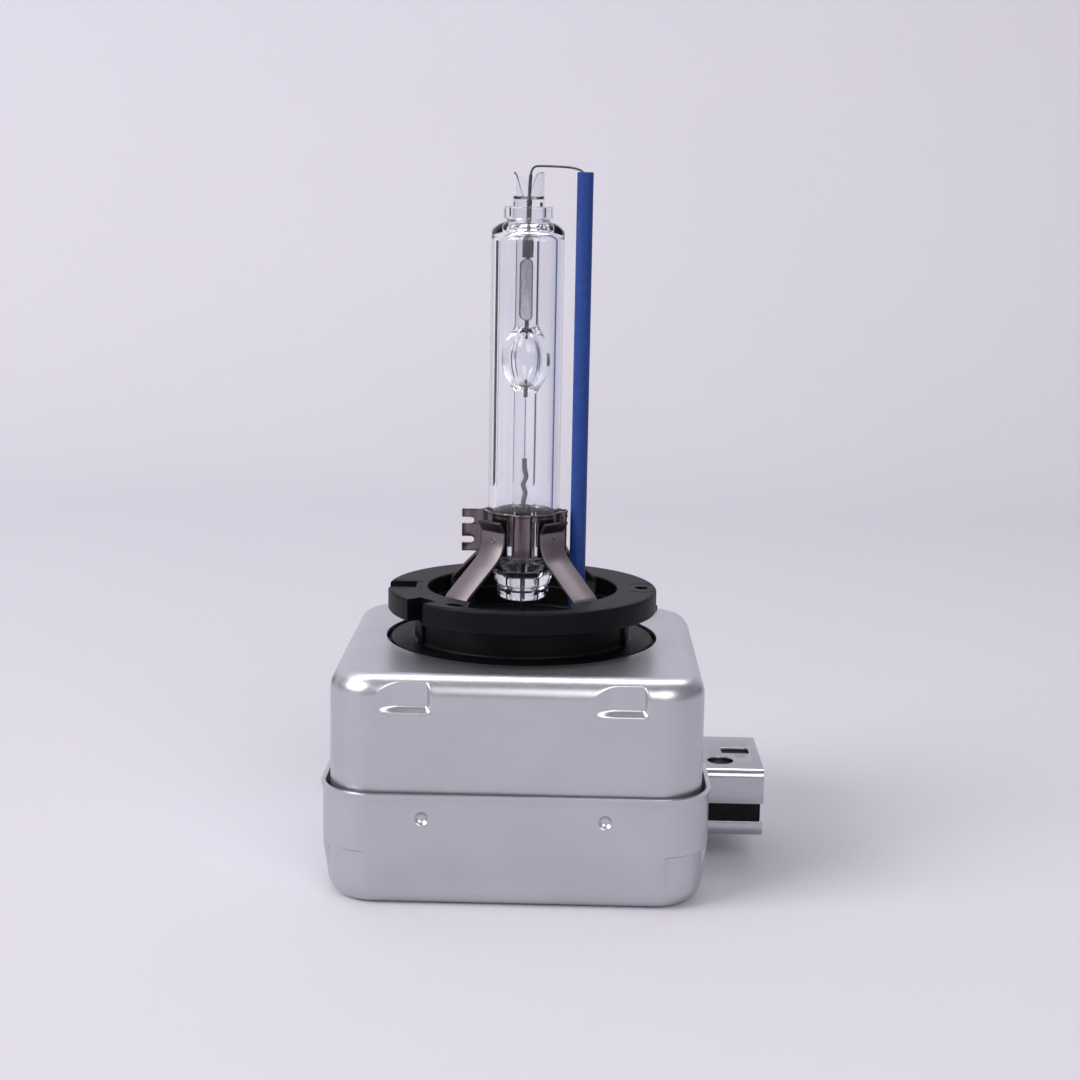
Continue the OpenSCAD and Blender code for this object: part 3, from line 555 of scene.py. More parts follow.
def ring_tree():
    """Copies of the object's own mesh, turned evenly about the lamp axis."""
    tree, given = open_tree("Copies Round Axis", [
        ("Count", "NodeSocketInt", 4),
        ("Material", "NodeSocketMaterial", None),
    ])
    points = add_node(tree, "GeometryNodePoints", {"Count": given.outputs["Count"], "Radius": MM})
    index = add_node(tree, "GeometryNodeInputIndex")
    share = add_node(tree, "ShaderNodeMath", {
        0: index.outputs["Index"], 1: given.outputs["Count"],
    }, operation="DIVIDE")
    angle = add_node(tree, "ShaderNodeMath", {0: share.outputs[0], 1: 2 * math.pi}, operation="MULTIPLY")
    turn = add_node(tree, "ShaderNodeCombineXYZ", {"Z": angle.outputs[0]})
    copies = add_node(tree, "GeometryNodeInstanceOnPoints", {
        "Points": points.outputs["Points"], "Instance": given.outputs["Geometry"],
        "Rotation": turn.outputs["Vector"],
    })
    return close_tree(tree, copies.outputs["Instances"], given.outputs["Material"])


def row_tree():
    """Copies of the object's own mesh in a row along Y, centred on it."""
    tree, given = open_tree("Copies In Row", [
        ("Count", "NodeSocketInt", 3),
        ("Pitch", "NodeSocketFloat", 4 * MM),
        ("Material", "NodeSocketMaterial", None),
    ])
    points = add_node(tree, "GeometryNodePoints", {"Count": given.outputs["Count"], "Radius": MM})
    index = add_node(tree, "GeometryNodeInputIndex")
    last = add_node(tree, "ShaderNodeMath", {0: given.outputs["Count"], 1: 1}, operation="SUBTRACT")
    middle = add_node(tree, "ShaderNodeMath", {0: last.outputs[0], 1: 2}, operation="DIVIDE")
    steps = add_node(tree, "ShaderNodeMath", {
        0: index.outputs["Index"], 1: middle.outputs[0],
    }, operation="SUBTRACT")
    along = add_node(tree, "ShaderNodeMath", {
        0: steps.outputs[0], 1: given.outputs["Pitch"],
    }, operation="MULTIPLY")
    place = add_node(tree, "ShaderNodeCombineXYZ", {"Y": along.outputs[0]})
    moved = add_node(tree, "GeometryNodeSetPosition", {
        "Geometry": points.outputs["Points"], "Position": place.outputs["Vector"],
    })
    copies = add_node(tree, "GeometryNodeInstanceOnPoints", {
        "Points": moved.outputs["Geometry"], "Instance": given.outputs["Geometry"],
    })
    return close_tree(tree, copies.outputs["Instances"], given.outputs["Material"])


def grow(piece, tree, values):
    """Runs a geometry tree on a piece with its named inputs and keeps the mesh that comes out."""
    modifier = piece.modifiers.new(tree.name, "NODES")
    modifier.node_group = tree
    for item in tree.interface.items_tree:
        if item.item_type == "SOCKET" and item.in_out == "INPUT" and item.name in values:
            modifier[item.identifier] = values[item.name]
    return settle(piece)


def wire(name, path, radius, material):
    """A round wire along a path in millimetres."""
    edges = [(i, i + 1) for i in range(len(path) - 1)]
    line = new_object(name, path, [], edges)
    tree = bpy.data.node_groups.get("Wire Along Path") or wire_tree()
    return grow(line, tree, {"Radius": radius * MM, "Material": material})


# ---------------------------------------------------------------- settings

def colour_setting(name, description, hex_colour):
    """A colour that the panel shows, from its sRGB hex."""
    return FloatVectorProperty(name=name, description=description, subtype="COLOR", size=4, min=0, max=1,
                               default=linear(hex_colour))


def length_setting(name, description, length):
    """A length that the panel shows, from millimetres."""
    return FloatProperty(name=name, description=description, unit="LENGTH", default=length * MM)


def angle_setting(name, description, degrees):
    """An angle that the panel shows, from degrees."""
    return FloatProperty(name=name, description=description, subtype="ANGLE", default=math.radians(degrees))


class CanSettings(bpy.types.PropertyGroup):
    """The two drawn cans of the igniter box."""

    colour: colour_setting("Aluminium", "Colour of the aluminium sheet", "c2c3c8")
    pocket_depth: length_setting("Pocket depth", "How far the pockets are pressed in", 0.7)
    dimple_depth: length_setting("Dimple depth", "How deep the joining dimples are punched", 0.42)
    flare: length_setting("Rim flare", "How far the rim of the lower can opens outwards", 0.2)
    sheet: length_setting("Sheet", "Thickness of the can sheet", 0.5)


class BaseSettings(bpy.types.PropertyGroup):
    """The black moulded base with its flange."""

    colour: colour_setting("Plastic", "Colour of the moulded plastic", "07070b")
    edge: length_setting("Edge round", "Round on the flange edges", 0.3)


class BurnerSettings(bpy.types.PropertyGroup):
    """The quartz burner, its metal parts and the ceramic tube beside it."""

    ceramic: colour_setting("Ceramic", "Colour of the ceramic return tube", "13377b")
    bulge: length_setting("Bulb radius", "Outer radius of the discharge bulb", 2.88)
    notch: length_setting("Cut depth", "Depth of the V-shaped cut in the tube at the top", 3.1)


class ClampSettings(bpy.types.PropertyGroup):
    """The clamp round the glass and its sprung legs."""

    steel: colour_setting("Clamp steel", "Colour of the clamp's bright strip", "6f6567")
    leg_steel: colour_setting("Leg steel", "Colour of the legs' dull strip", "7d7478")
    rib: length_setting("Rib height", "Height of the spring ribs", 0.6)
    lip: length_setting("Lip length", "Length of the lip at the top of each leg", 1.3)


class SocketSettings(bpy.types.PropertyGroup):
    """The connector and its shield."""

    plate: colour_setting("Plating", "Colour of the plated shield", "b2b1b7")
    pitch: length_setting("Pin pitch", "Distance between the pins", 4)


class StageSettings(bpy.types.PropertyGroup):
    """The floor, the light and the camera."""

    backdrop: colour_setting("Backdrop", "Colour of the floor and wall", "dad8df")
    distance: length_setting("Camera distance", "From the camera to the middle of the flange", 233.8)
    azimuth: angle_setting("Azimuth", "Turn of the camera round the lamp, to the right of the front", 1.264)
    elevation: angle_setting("Elevation", "Height of the camera above the flange plane", 11.225)
    pan: angle_setting("Pan", "Turn of the lens to the left of the flange", -0.492)
    tilt: angle_setting("Tilt", "Turn of the lens above the flange", 1.348)
    roll: angle_setting("Roll", "Roll of the camera", 0.922)
    lens: FloatProperty(
        name="Lens", description="Focal length on a 36 mm sensor", unit="CAMERA", default=65.2)


# ---------------------------------------------------------------- cans

def can_rim(half_w, half_d, corner, centre_y, across, along, corner_steps):
    """Points round a can: (anchor x, anchor y, outward x, outward y), anticlockwise from the front left.

    across and along are grid lines on the sides that face Y and X, measured from the can's centre.
    """
    flat_w, flat_d = half_w - corner, half_d - corner
    walls = [
        (FRONT, [(x, -flat_d) for x in across]), (RIGHT, [(flat_w, y) for y in along]),
        (BACK, [(-x, flat_d) for x in across]), (LEFT, [(-flat_w, -y) for y in along]),
    ]
    found = []
    for direction, anchors in walls:
        angle = math.radians(direction)
        found += [(x, y + centre_y, math.cos(angle), math.sin(angle)) for x, y in anchors]
        last_x, last_y = anchors[-1]
        for k in range(1, corner_steps):
            turn = angle + math.pi / 2 * k / corner_steps
            found.append((last_x, last_y + centre_y, math.cos(turn), math.sin(turn)))
    return found


def can_size(node):
    """Half the width and depth of a can, the middle of its depth, its top and its foot."""
    low, high = node_box(node)
    return (high.x - low.x) / 2, (high.y - low.y) / 2, (high.y + low.y) / 2, high.z, low.z


def can_lines(half_w, half_d, corner, centre_y, window_w, fine):
    """Grid lines on a can's sides that face Y and X, with both edges of the connector's window in them."""
    edges = [(side * window_w - centre_y, side * window_w - centre_y + 0.1, 1) for side in (-1, 1)]
    across = lines(-(half_w - corner), half_w - corner, 1.2, *fine)
    along = lines(-(half_d - corner), half_d - corner, 1.5, *edges)
    return across, along


def shell(name, piece_rows, window, sheet, edge=0.1):
    """Sheet metal from rows of points, with the connector's window left out."""
    piece = skin(name, piece_rows)
    work = bmesh.new()
    work.from_mesh(piece.data)
    bmesh.ops.remove_doubles(work, verts=work.verts, dist=0.001 * MM)
    low, high = window
    gone = [f for f in work.faces if all(
        low[k] < f.calc_center_median()[k] / MM < high[k] for k in range(3))]
    bmesh.ops.delete(work, geom=gone, context="FACES")
    work.to_mesh(piece.data)
    work.free()
    add_modifier(piece, "SOLIDIFY", thickness=sheet * MM, offset=-1)
    return bevelled(piece, edge, 65)


def upper_shell(settings):
    """The upper can: a drawn lid with a round opening and four pressed pockets."""
    half_w, half_d, centre_y, top, foot = can_size("upper_can")
    plug_high = node_box("upper_shield")[1]
    corner, edge, opening = 5.5, 2.4, 16.15
    pockets, reach, soft, crisp = (-11.9, 11.9), 2.35, 1.5, 0.4
    ledge, ledge_h = top - 4.2, 0.85
    window_w, window_top = plug_high.y + 0.3, plug_high.z + 0.3
    depth = settings.pocket_depth / MM

    def press(x, z):
        inward = sum(
            smooth_step(x, middle - reach - soft, middle - reach + soft)
            * (1 - smooth_step(x, middle + reach - crisp, middle + reach + crisp)) for middle in pockets)
        return depth * inward * smooth_step(z, ledge, ledge + ledge_h)

    fine = [(m - reach - soft, m - reach + soft, 0.3) for m in pockets]
    fine += [(m + reach - 1.1 * crisp, m + reach + 1.1 * crisp, 0.1) for m in pockets]
    across, along = can_lines(half_w, half_d, corner, centre_y, window_w, fine)
    rim = can_rim(half_w, half_d, corner, centre_y, across, along, 20)
    heights = lines(foot, top - edge, 1.5, (window_top, window_top + 0.1, 1),
                    (ledge - 0.1, ledge + ledge_h + 0.1, 0.09))
    profile = [(0, z) for z in heights]
    profile += [(edge - x, z) for x, z in arc(0, top - edge, edge, 0, 90, 24)[1:]]
    rows = []
    for inset, z in profile:
        row = []
        for ax, ay, nx, ny in rim:
            # a pocket is a flat pressed into the side, so it ends where the top round runs deeper
            pressed = press(ax + nx * corner, z) if abs(ny) > 0.6 else 0
            out = corner - max(inset, pressed)
            row.append((ax + nx * out, ay + ny * out, z))
        rows.append(row)
    # the flat top, from its edge in to the round opening
    edge_row, rings = rows[-1], 8
    for k in range(1, rings + 1):
        t = k / rings
        shares = [1 - t + t * opening / math.hypot(x, y) for x, y, z in edge_row]
        rows.append([(x * share, y * share, top) for (x, y, z), share in zip(edge_row, shares)])
    window = ((half_w - 3, -window_w, foot - 1), (half_w + 3, window_w, window_top))
    return shell("upper_shell", rows, window, settings.sheet / MM)


def lower_shell(settings):
    """The lower can: a drawn tray whose flared band holds the upper can, with four punched dimples."""
    half_w, half_d, centre_y, rim_z, foot = can_size("lower_can")
    plug_low, plug_high = node_box("lower_shield")
    corner, edge, step, step_z = 6.2, 2.4, 0.8, rim_z - 6.7
    flare = settings.flare / MM
    dimples, dimple_z, dimple_r = (-10.2, 10.0), rim_z - 2.65, 0.78
    dimple_depth = settings.dimple_depth / MM
    window_w, window_foot = plug_high.y + 0.3, plug_low.z - 0.3
    # the band steps in sharply round the corners, up to the tab lines, and softly between them
    tab, crisp, rim_h, dish = 17.0, 0.18, 1.1, 2.6

    def inset_at(x, y, ny, z):
        near_corner = (smooth_step(abs(x), tab - crisp, tab + crisp)
                       * smooth_step(abs(y - centre_y), tab - crisp, tab + crisp))
        stepped = 1 - smooth_step(z, step_z - crisp, step_z + crisp)
        eased = 1 - smooth_step(z, step_z - 5, step_z + 1)
        inset = flare * smooth_step(rim_z - z, 0.0, rim_h)
        inset += (step - flare) * (near_corner * stepped + (1 - near_corner) * eased)
        if abs(ny) > 0.99:
            for middle in dimples:
                away = math.hypot(x - middle, z - dimple_z) / dimple_r
                if away < 1:
                    inset += dimple_depth * (1 - away ** dish)
        return inset

    fine = [(m - dimple_r - 0.1, m + dimple_r + 0.1, 0.11) for m in dimples]
    across, along = can_lines(half_w, half_d, corner, centre_y, window_w, fine)
    rim = can_rim(half_w, half_d, corner, centre_y, across, along, 30)
    heights = lines(foot + edge, rim_z, 0.9, (dimple_z - dimple_r - 0.1, dimple_z + dimple_r + 0.1, 0.11),
                    (step_z - 0.3, step_z + 0.3, 0.06), (window_foot, window_foot + 0.1, 1),
                    (rim_z - rim_h, rim_z, 0.14))
    profile = [(edge - x, z) for x, z in arc(0, foot + edge, edge, -90, 0, 12)[:-1]]
    profile += [(0, z) for z in heights]
    rows = []
    for inset, z in profile:
        row = []
        for ax, ay, nx, ny in rim:
            side_z = max(z, foot + edge)
            out = corner - inset - inset_at(ax + nx * corner, ay + ny * corner, ny, side_z)
            row.append((ax + nx * out, ay + ny * out, z))
        rows.append(row)
    floor = [[(x * t, centre_y + (y - centre_y) * t, foot) for x, y, z in rows[0]]
             for t in (0, 0.2, 0.4, 0.6, 0.8, 0.95)]
    window = ((half_w - 3, -window_w, window_foot), (half_w + 3, window_w, rim_z + 1))
    return shell("lower_shell", floor + rows, window, settings.sheet / MM)


class LAMP_OT_cans(bpy.types.Operator):
    """Makes the upper and lower cans of the igniter box"""

    bl_idname = "lamp.cans"
    bl_label = "Cans"

    def execute(self, context):
        settings = context.scene.lamp_cans
        metal = satin_aluminium(list(settings.colour))
        finish_piece(upper_shell(settings), metal, "can_aluminium", "upper_can", sharp=50)
        finish_piece(lower_shell(settings), metal, "can_aluminium", "lower_can", sharp=50)
        return {"FINISHED"}


# ---------------------------------------------------------------- base

class LAMP_OT_base(bpy.types.Operator):
    """Makes the black base with its flange, well and neck"""

    bl_idname = "lamp.base"
    bl_label = "Base"

    def execute(self, context):
        settings = context.scene.lamp_base
        low, high = node_box("base_body")
        ring_low, ring_high = node_box("leg_ring")
        flange, top, foot = high.x, high.z, low.z
        well, inner = ring_high.x, 9.6
        edge = settings.edge / MM
        thick, neck, well_floor = 2.65, 12.8, -4.6
        plate, plate_top, seat = 15.6, node_box("upper_can")[1].z - 0.12, ring_low.z - 0.5
        hub, spigot, ceiling = 2.5, inner - 0.3, foot + 1.8
        bore = node_box("hot_contact")[1].x
        outline = rounded([
            (bore, foot, 0), (hub, foot, 0.2), (hub, ceiling, 0), (spigot, ceiling, 0.2), (spigot, seat, 0),
            (inner, seat, 0), (inner, ring_high.z, 0), (well, ring_high.z, 0), (well, seat, 0),
            (plate, seat, 0), (plate, plate_top, 0.12), (neck, plate_top, 0.35), (neck, -thick, 0.35),
            (flange, -thick, 0.25), (flange, top, edge),
            (well, top, 0.2), (well, -2.1, 0.1), (well - 0.55, -2.1, 0.12), (well - 0.55, well_floor, 0.3),
            (bore, well_floor, 0),
        ])
        piece = turned("lamp_base", [outline], segments=128)
        tube_low, tube_high = node_box("return_tube")
        tube_x = (tube_low.x + tube_high.x) / 2
        leg_r, leg_w = well - LEG_INSET, 3.9
        # heights of the cutters: below the flange, above it, and below the flange top
        below, above, recess_z, mark_z = -thick - 0.1, 0.6, -1.6, -0.14
        slot, witness, notch_turn = (-14.0, -0.3), (14.2, 0.2), 221
        cutters = [
            # open slot opposite the connector, and the witness hole
            slab((-flange - 1, -2.1, below), (-12.6, 1.5, above)),
            disc(*witness, 0.8, below, above),
            # hollows moulded in the flange top
            disc(-7.4, -12.0, 0.62, -0.5, above, stretch=1.9, turn=-33),
            disc(-4.2, -13.5, 0.5, -0.45, above, stretch=1.8, turn=-20),
            # return tube seat
            disc(tube_x, 0, 1.0, tube_low.z, well_floor + 0.2),
            # front recess between the legs
            prism("cutter", arc(0, 0, 14.5, FRONT - 24, FRONT + 24, 16)
                  + arc(0, 0, 10.2, FRONT + 34, FRONT - 34, 16), recess_z, above),
            # key notch
            spun(slab((flange - 2, -1.5, below), (flange + 1, 1.5, above)), notch_turn),
        ]
        # a slot in the well's floor for each leg
        for angle in (45, 135, 225, 315):
            leg_slot = slab((leg_r - 0.3, -leg_w / 2, seat - 1), (leg_r + 0.3, leg_w / 2, well_floor + 0.6))
            cutters.append(spun(leg_slot, angle))
        # plain curved marks round the slot and the witness hole
        for middle, first, last in (
            (slot, 35, 125), (slot, -125, -35), (witness, 55, 125), (witness, -125, -55),
        ):
            cutters.append(arc_bar(*middle, 2.5, 0.22, first, last, mark_z, above))
        cut(piece, cutters)
        plastic = moulded_black(list(settings.colour))
        finish_piece(piece, plastic, "base_plastic", "base_body", sharp=30)

        # low mould ribs on the neck, and the comb of small ribs in the front recess
        ribs = []
        for angle, width in ((206, 1.3), (340, 0.9), (25, 0.9), (155, 0.9)):
            rib = slab((neck - 0.3, -width / 2, plate_top - 0.1), (neck + 0.35, width / 2, -thick - 0.6))
            ribs.append(spun(rib, angle))
        comb, comb_step, comb_w = 7, 5, 0.35
        for k in range(comb):
            rib = slab((12.6, -comb_w / 2, recess_z - 0.1), (14.6, comb_w / 2, -0.75))
            ribs.append(spun(rib, FRONT + comb_step * (k - (comb - 1) / 2)))
        ribs = join("base_ribs", ribs)
        finish_piece(bevelled(ribs, 0.1), plastic, "base_plastic")
        return {"FINISHED"}


# ---------------------------------------------------------------- burner

class LAMP_OT_glass(bpy.types.Operator):
    """Makes the glass sleeve and the arc tube in it"""

    bl_idname = "lamp.glass"
    bl_label = "Glass"

    def execute(self, context):
        settings = context.scene.lamp_burner
        low, high = node_box("outer_bulb")
        radius, foot, top = high.x, low.z, high.z
        wall, stem, stub, collar = 0.95, 1.4, 1.8, 2.85
        # the sleeve stops this far from the tube that is fused into it
        fused = 0.04
        bore, shoulder = radius - wall, top - 3.5
        sleeve = rounded([
            (stem + fused, foot, 0), (2.95, foot, 0.85), (3.05, 0.05, 0.25), (2.7, 0.25, 0.1),
            (3.2, 0.5, 0.3), (3.6, 1.75, 1.2), (radius, 3.3, 1.0), (radius, shoulder + 1.5, 1.3),
            (2.6, top - 1.75, 0.2), (2.5, top - 1.5, 0.08), (collar, top - 1.4, 0.2),
            (collar, top, 0.25), (stub + fused, top, 0.05), (stub + fused, top - 2.0, 0.1),
            (stem + fused, top - 2.4, 0.1), (stem + fused, shoulder + 0.9, 0.3),
            (bore, shoulder + 0.5, 1.1), (bore, 3.6, 1.0), (bore - 0.7, 2.3, 0.8),
            (stem + fused, 1.5, 0.3),
        ], steps=8)
        glass = quartz_glass()
        finish_piece(turned("glass_sleeve", [sleeve], segments=128), glass, "quartz_glass",
                     "outer_bulb", sharp=60)

        arc_z = (node_box("upper_electrode")[0].z + node_box("lower_electrode")[1].z) / 2
        stub_top, stub_in, lip = node_box("arc_tube")[1].z, stub - 0.22, 0.06
        bulge = settings.bulge / MM
        bulge_l, steps = 3.9, 16
        space_r, space_l = 1.38, 2.8
        outline = [(0, foot), (stem, foot)]
        for i in range(-steps, steps + 1):
            # a barrel that runs softly into the stems at both ends
            along = i / steps
            swell = (1 - abs(along) ** 2.6) ** 1.6
            outline.append((stem + (bulge - stem) * swell, arc_z + bulge_l * along))
        outline += [(stem, top - 2.4), (stub, top - 2.0), (stub, stub_top - lip), (stub - lip, stub_top),
                    (stub_in + lip, stub_top), (stub_in, stub_top - lip), (stub_in, top + 1.1),
                    (stub - 0.6, top + 0.8), (0, top + 0.7)]
        space = [(x, arc_z + z * space_l / space_r) for x, z in arc(0, 0, space_r, 90, -90, 24)]
        space[0], space[-1] = (0, arc_z + space_l), (0, arc_z - space_l)
        notch, notch_x, notch_w = settings.notch / MM, -0.25, 1.4

        def cut_away(r, z, angle):
            if z < stub_top - 0.2:
                return 0
            # a deep V in front and a shallow one behind, both with a ragged edge
            depth = notch if math.sin(angle) < 0 else 0.2 * notch
            away = abs(r * math.cos(angle) - notch_x)
            return -depth * (1 - smooth_step(away, 0, notch_w)) - 0.1 * (1 + math.sin(3 * angle))

        tube = turned("burner_tube", [outline, space], segments=96, shift=cut_away)
        finish_piece(tube, glass, "arc_tube_quartz", "arc_tube", sharp=60)
        return {"FINISHED"}


def foil_strip(node, turn):
    """A sealing foil with round ends and knife edges, standing in a plane through the axis."""
    low, high = node_box(node)
    half_t, half_w, feather, knife = 0.05, 0.74, 0.2, 0.01

    def ring(side, inset):
        w, foot, head, corner = half_w - inset, low.z + inset, high.z - inset, half_w - 0.02 - inset
        corners = [(-w, foot, corner), (w, foot, corner), (w, head, corner), (-w, head, corner)]
        line = rounded(corners, steps=8)
        return [(side, y, z) for y, z in line]

    rows = [ring(-half_t, feather), ring(-knife, 0), ring(knife, 0), ring(half_t, feather)]
    strip = skin(node + "_strip", rows, start_cap=True, end_cap=True)
    # the two middle rings are the knife edge, which the finish darkens
    rim = strip.data.attributes.new("rim", "FLOAT", "POINT")
    count = len(rows[0])
    for i in range(count, 3 * count):
        rim.data[i].value = 1.0
    return spun(strip, turn)


class LAMP_OT_burner_metal(bpy.types.Operator):
    """Makes the electrodes, the lead wires and the foils"""

    bl_idname = "lamp.burner_metal"
    bl_label = "Electrodes and leads"

    def execute(self, context):
        # drawn and ground tungsten: dark, faintly streaked along its length
        tungsten = surfaced("Ground Tungsten", linear("3d3b3f"), linear("58555a"), (0.3, 0.45), 0.08, 0.002,
                            stretch=(1, 1, 0.2), blotch=0.5, metallic=1.0)
        # drawn molybdenum wire: dark grey with fine die lines
        drawn = surfaced("Drawn Molybdenum Wire", linear("4a464b"), linear("6b666b"), (0.25, 0.4), 0.08,
                         0.002, stretch=(1, 1, 0.2), blotch=0.7, metallic=1.0)
        for node, way in (("upper_electrode", -1), ("lower_electrode", 1)):
            low, high = node_box(node)
            tip = low.z if way < 0 else high.z
            end = high.z if way < 0 else low.z
            r = high.x
            outline = [(0, end), (r, end)] if way > 0 else [(0, tip)]
            bend = [(r * math.cos(math.radians(a)), tip - way * (r - r * math.sin(math.radians(a))))
                    for a in (range(0, 90, 15) if way > 0 else range(75, -1, -15))]
            outline += bend
            outline += [(0, tip)] if way > 0 else [(r, end), (0, end)]
            finish_piece(turned(node + "_rod", [outline], segments=24), tungsten, "tungsten", node)

        lead_low, lead_high = node_box("upper_lead")
        tube_low, tube_high = node_box("return_tube")
        tube_x = (tube_low.x + tube_high.x) / 2
        # a thick lead in the cut tube, with the thin wire welded on that crosses to the ceramic tube
        r, thin = 0.2, 0.13
        foot, top = lead_low.z, lead_high.z - thin - 0.02
        lead = wire("lead", flowing([
            (0, 0, foot), (0, 0, foot + 2), (0.05, 0, top - 5), (0.12, 0, top - 2.2), (0.2, 0, top - 1.0),
        ]), r, drawn)
        crossing = wire("crossing", flowing([
            (0.19, 0, top - 1.25), (0.24, 0, top - 0.75), (0.38, 0, top - 0.36), (0.7, 0, top - 0.08),
            (1.3, 0, top), (3.0, 0, top - 0.02), (4.6, 0, top - 0.1), (5.5, 0, top - 0.26),
            (tube_x - 0.4, 0, top - 0.52), (tube_x - 0.12, 0, top - 0.95), (tube_x, 0, top - 2.2),
        ]), thin, drawn)
        # the end that is fused in is folded back on itself, for a better hold on the foil
        fold = wire("fold", flowing([
            (-0.24, 0, foot + 0.1), (-0.25, 0, foot + 1.4), (-0.22, 0, foot + 2.5), (0, 0, foot + 2.95),
            (0.22, 0, foot + 2.5), (0.26, 0, foot + 1.3), (0.22, 0, foot + 0.1),
        ]), r, drawn)
        over = join("over_wire", [lead, fold, crossing])
        finish_piece(over, drawn, "lead_wire", "upper_lead")

        # the lower lead, waved where it leaves its foil
        low, high = node_box("lower_lead")
        head = high.z
        route = flowing([
            (0, 0, head), (0.02, 0, head - 1.2), (0.14, 0, head - 2.2), (-0.08, 0, head - 3.1),
            (0.1, 0, head - 4.1), (-0.04, 0, head - 5.2), (0.02, 0, head - 6.5), (0, 0, 6),
            (0, 0, 1), (0, 0, low.z),
        ])
        finish_piece(wire("foot_wire", route, r, drawn), None, "lead_wire", "lower_lead")

        # the foils, turned as they are in the frame
        foil_finish = etched_foil()
        for node, turn in (("upper_foil", 45), ("lower_foil", 0)):
            finish_piece(foil_strip(node, turn), foil_finish, "molybdenum_foil", node)
        return {"FINISHED"}


class LAMP_OT_return_tube(bpy.types.Operator):
    """Makes the blue ceramic tube beside the glass"""

    bl_idname = "lamp.return_tube"
    bl_label = "Return tube"

    def execute(self, context):
        low, high = node_box("return_tube")
        r, centre = (high.x - low.x) / 2, ((high.x + low.x) / 2, 0)
        bore = 0.4
        outline = rounded([(bore, low.z, 0.05), (r, low.z, 0.1), (r, high.z, 0.1), (bore, high.z, 0.08)])
        tube = turned("ceramic_tube", [outline], segments=64, centre=centre)
        ceramic = blue_ceramic(list(context.scene.lamp_burner.ceramic))
        finish_piece(tube, ceramic, "blue_ceramic", "return_tube")
        return {"FINISHED"}


# ---------------------------------------------------------------- clamp

class LAMP_OT_clamp(bpy.types.Operator):
    """Makes the ribbed clamp band with its comb-shaped closure"""

    bl_idname = "lamp.clamp"
    bl_label = "Clamp band"

    def execute(self, context):
        settings = context.scene.lamp_clamp
        low, high = node_box("clamp_band")
        glass = node_box("outer_bulb")[1].x
        r = glass + STRIP
        rib, rib_w, rib_round = settings.rib / MM, 2.1, 0.55
        half = math.degrees(math.asin(rib_w / 2 / r))
        foot_x = r * math.cos(math.radians(half))
        line = rounded([(low.x, STRIP, 0), (-r - 0.25, STRIP, 0.3), (-r + 0.05, STRIP + 0.5, 0)],
                       closed=False)[:-1]
        outline = []
        for middle in (BACK, RIGHT, FRONT):
            start = 170 if middle == BACK else middle + 90 - half
            outline += arc(0, 0, r, start, middle + half, 10)
            turn = Matrix.Rotation(math.radians(middle), 2)
            bump = rounded([
                (foot_x, rib_w / 2, 0), (r + rib, rib_w / 2, rib_round), (r + rib, -rib_w / 2, rib_round),
                (foot_x, -rib_w / 2, 0),
            ], closed=False, steps=8)
            outline += [tuple(turn @ Vector(p)) for p in bump[1:-1]]
        outline += arc(0, 0, r, FRONT - half, -170, 10)
        back_line = [(x, -y) for x, y in reversed(line)]
        path = line + outline + back_line
        # heights, and how far the band opens at each
        levels = [(low.z, 0.06), (low.z + 0.2, 0), (low.z + 1.6, 0), (low.z + 3.2, 0), (high.z - 0.5, 0),
                  (high.z - 0.2, 0.05), (high.z, 0.14)]
        rows = []
        for z, flare in levels:
            row = []
            for x, y in path:
                size = math.hypot(x, y)
                open_up = flare if size < r + rib + 0.1 else 0
                row.append((x * (1 + open_up / size), y * (1 + open_up / size), z))
            rows.append(row)
        piece = skin("clamp_collar", [list(reversed(row)) for row in rows], closed=False)
        add_modifier(piece, "SOLIDIFY", thickness=STRIP * MM, offset=-1)
        settle(piece)
        # two slots that leave three teeth in the closure
        width, slot_r, slot_l = high.z - low.z, 0.4, 1.05
        cutters = []
        for share in (0.27, 0.73):
            z = low.z + share * width
            slot = [(low.x - 0.5, z - slot_r), *arc(low.x + slot_l, z, slot_r, -90, 90, 8),
                    (low.x - 0.5, z + slot_r)]
            cutters.append(cross_prism("cutter", slot, 1))
        # slits, open below, that free a finger of the band on each side of a rib
        slit_w, slit_top = 0.54, high.z - 0.85
        for middle in (BACK, RIGHT, FRONT):
            for y in (-rib_w / 2 - 0.4, rib_w / 2 + 0.4):
                cutters.append(spun(slab((glass - 0.6, y - slit_w / 2, low.z - 0.1),
                                         (r + rib + 0.1, y + slit_w / 2, slit_top)), middle))
        cut(piece, cutters)
        steel = spring_steel(list(settings.steel))
        finish_piece(bevelled(piece, 0.05, 50), steel, "spring_steel", "clamp_band", sharp=40)
        return {"FINISHED"}


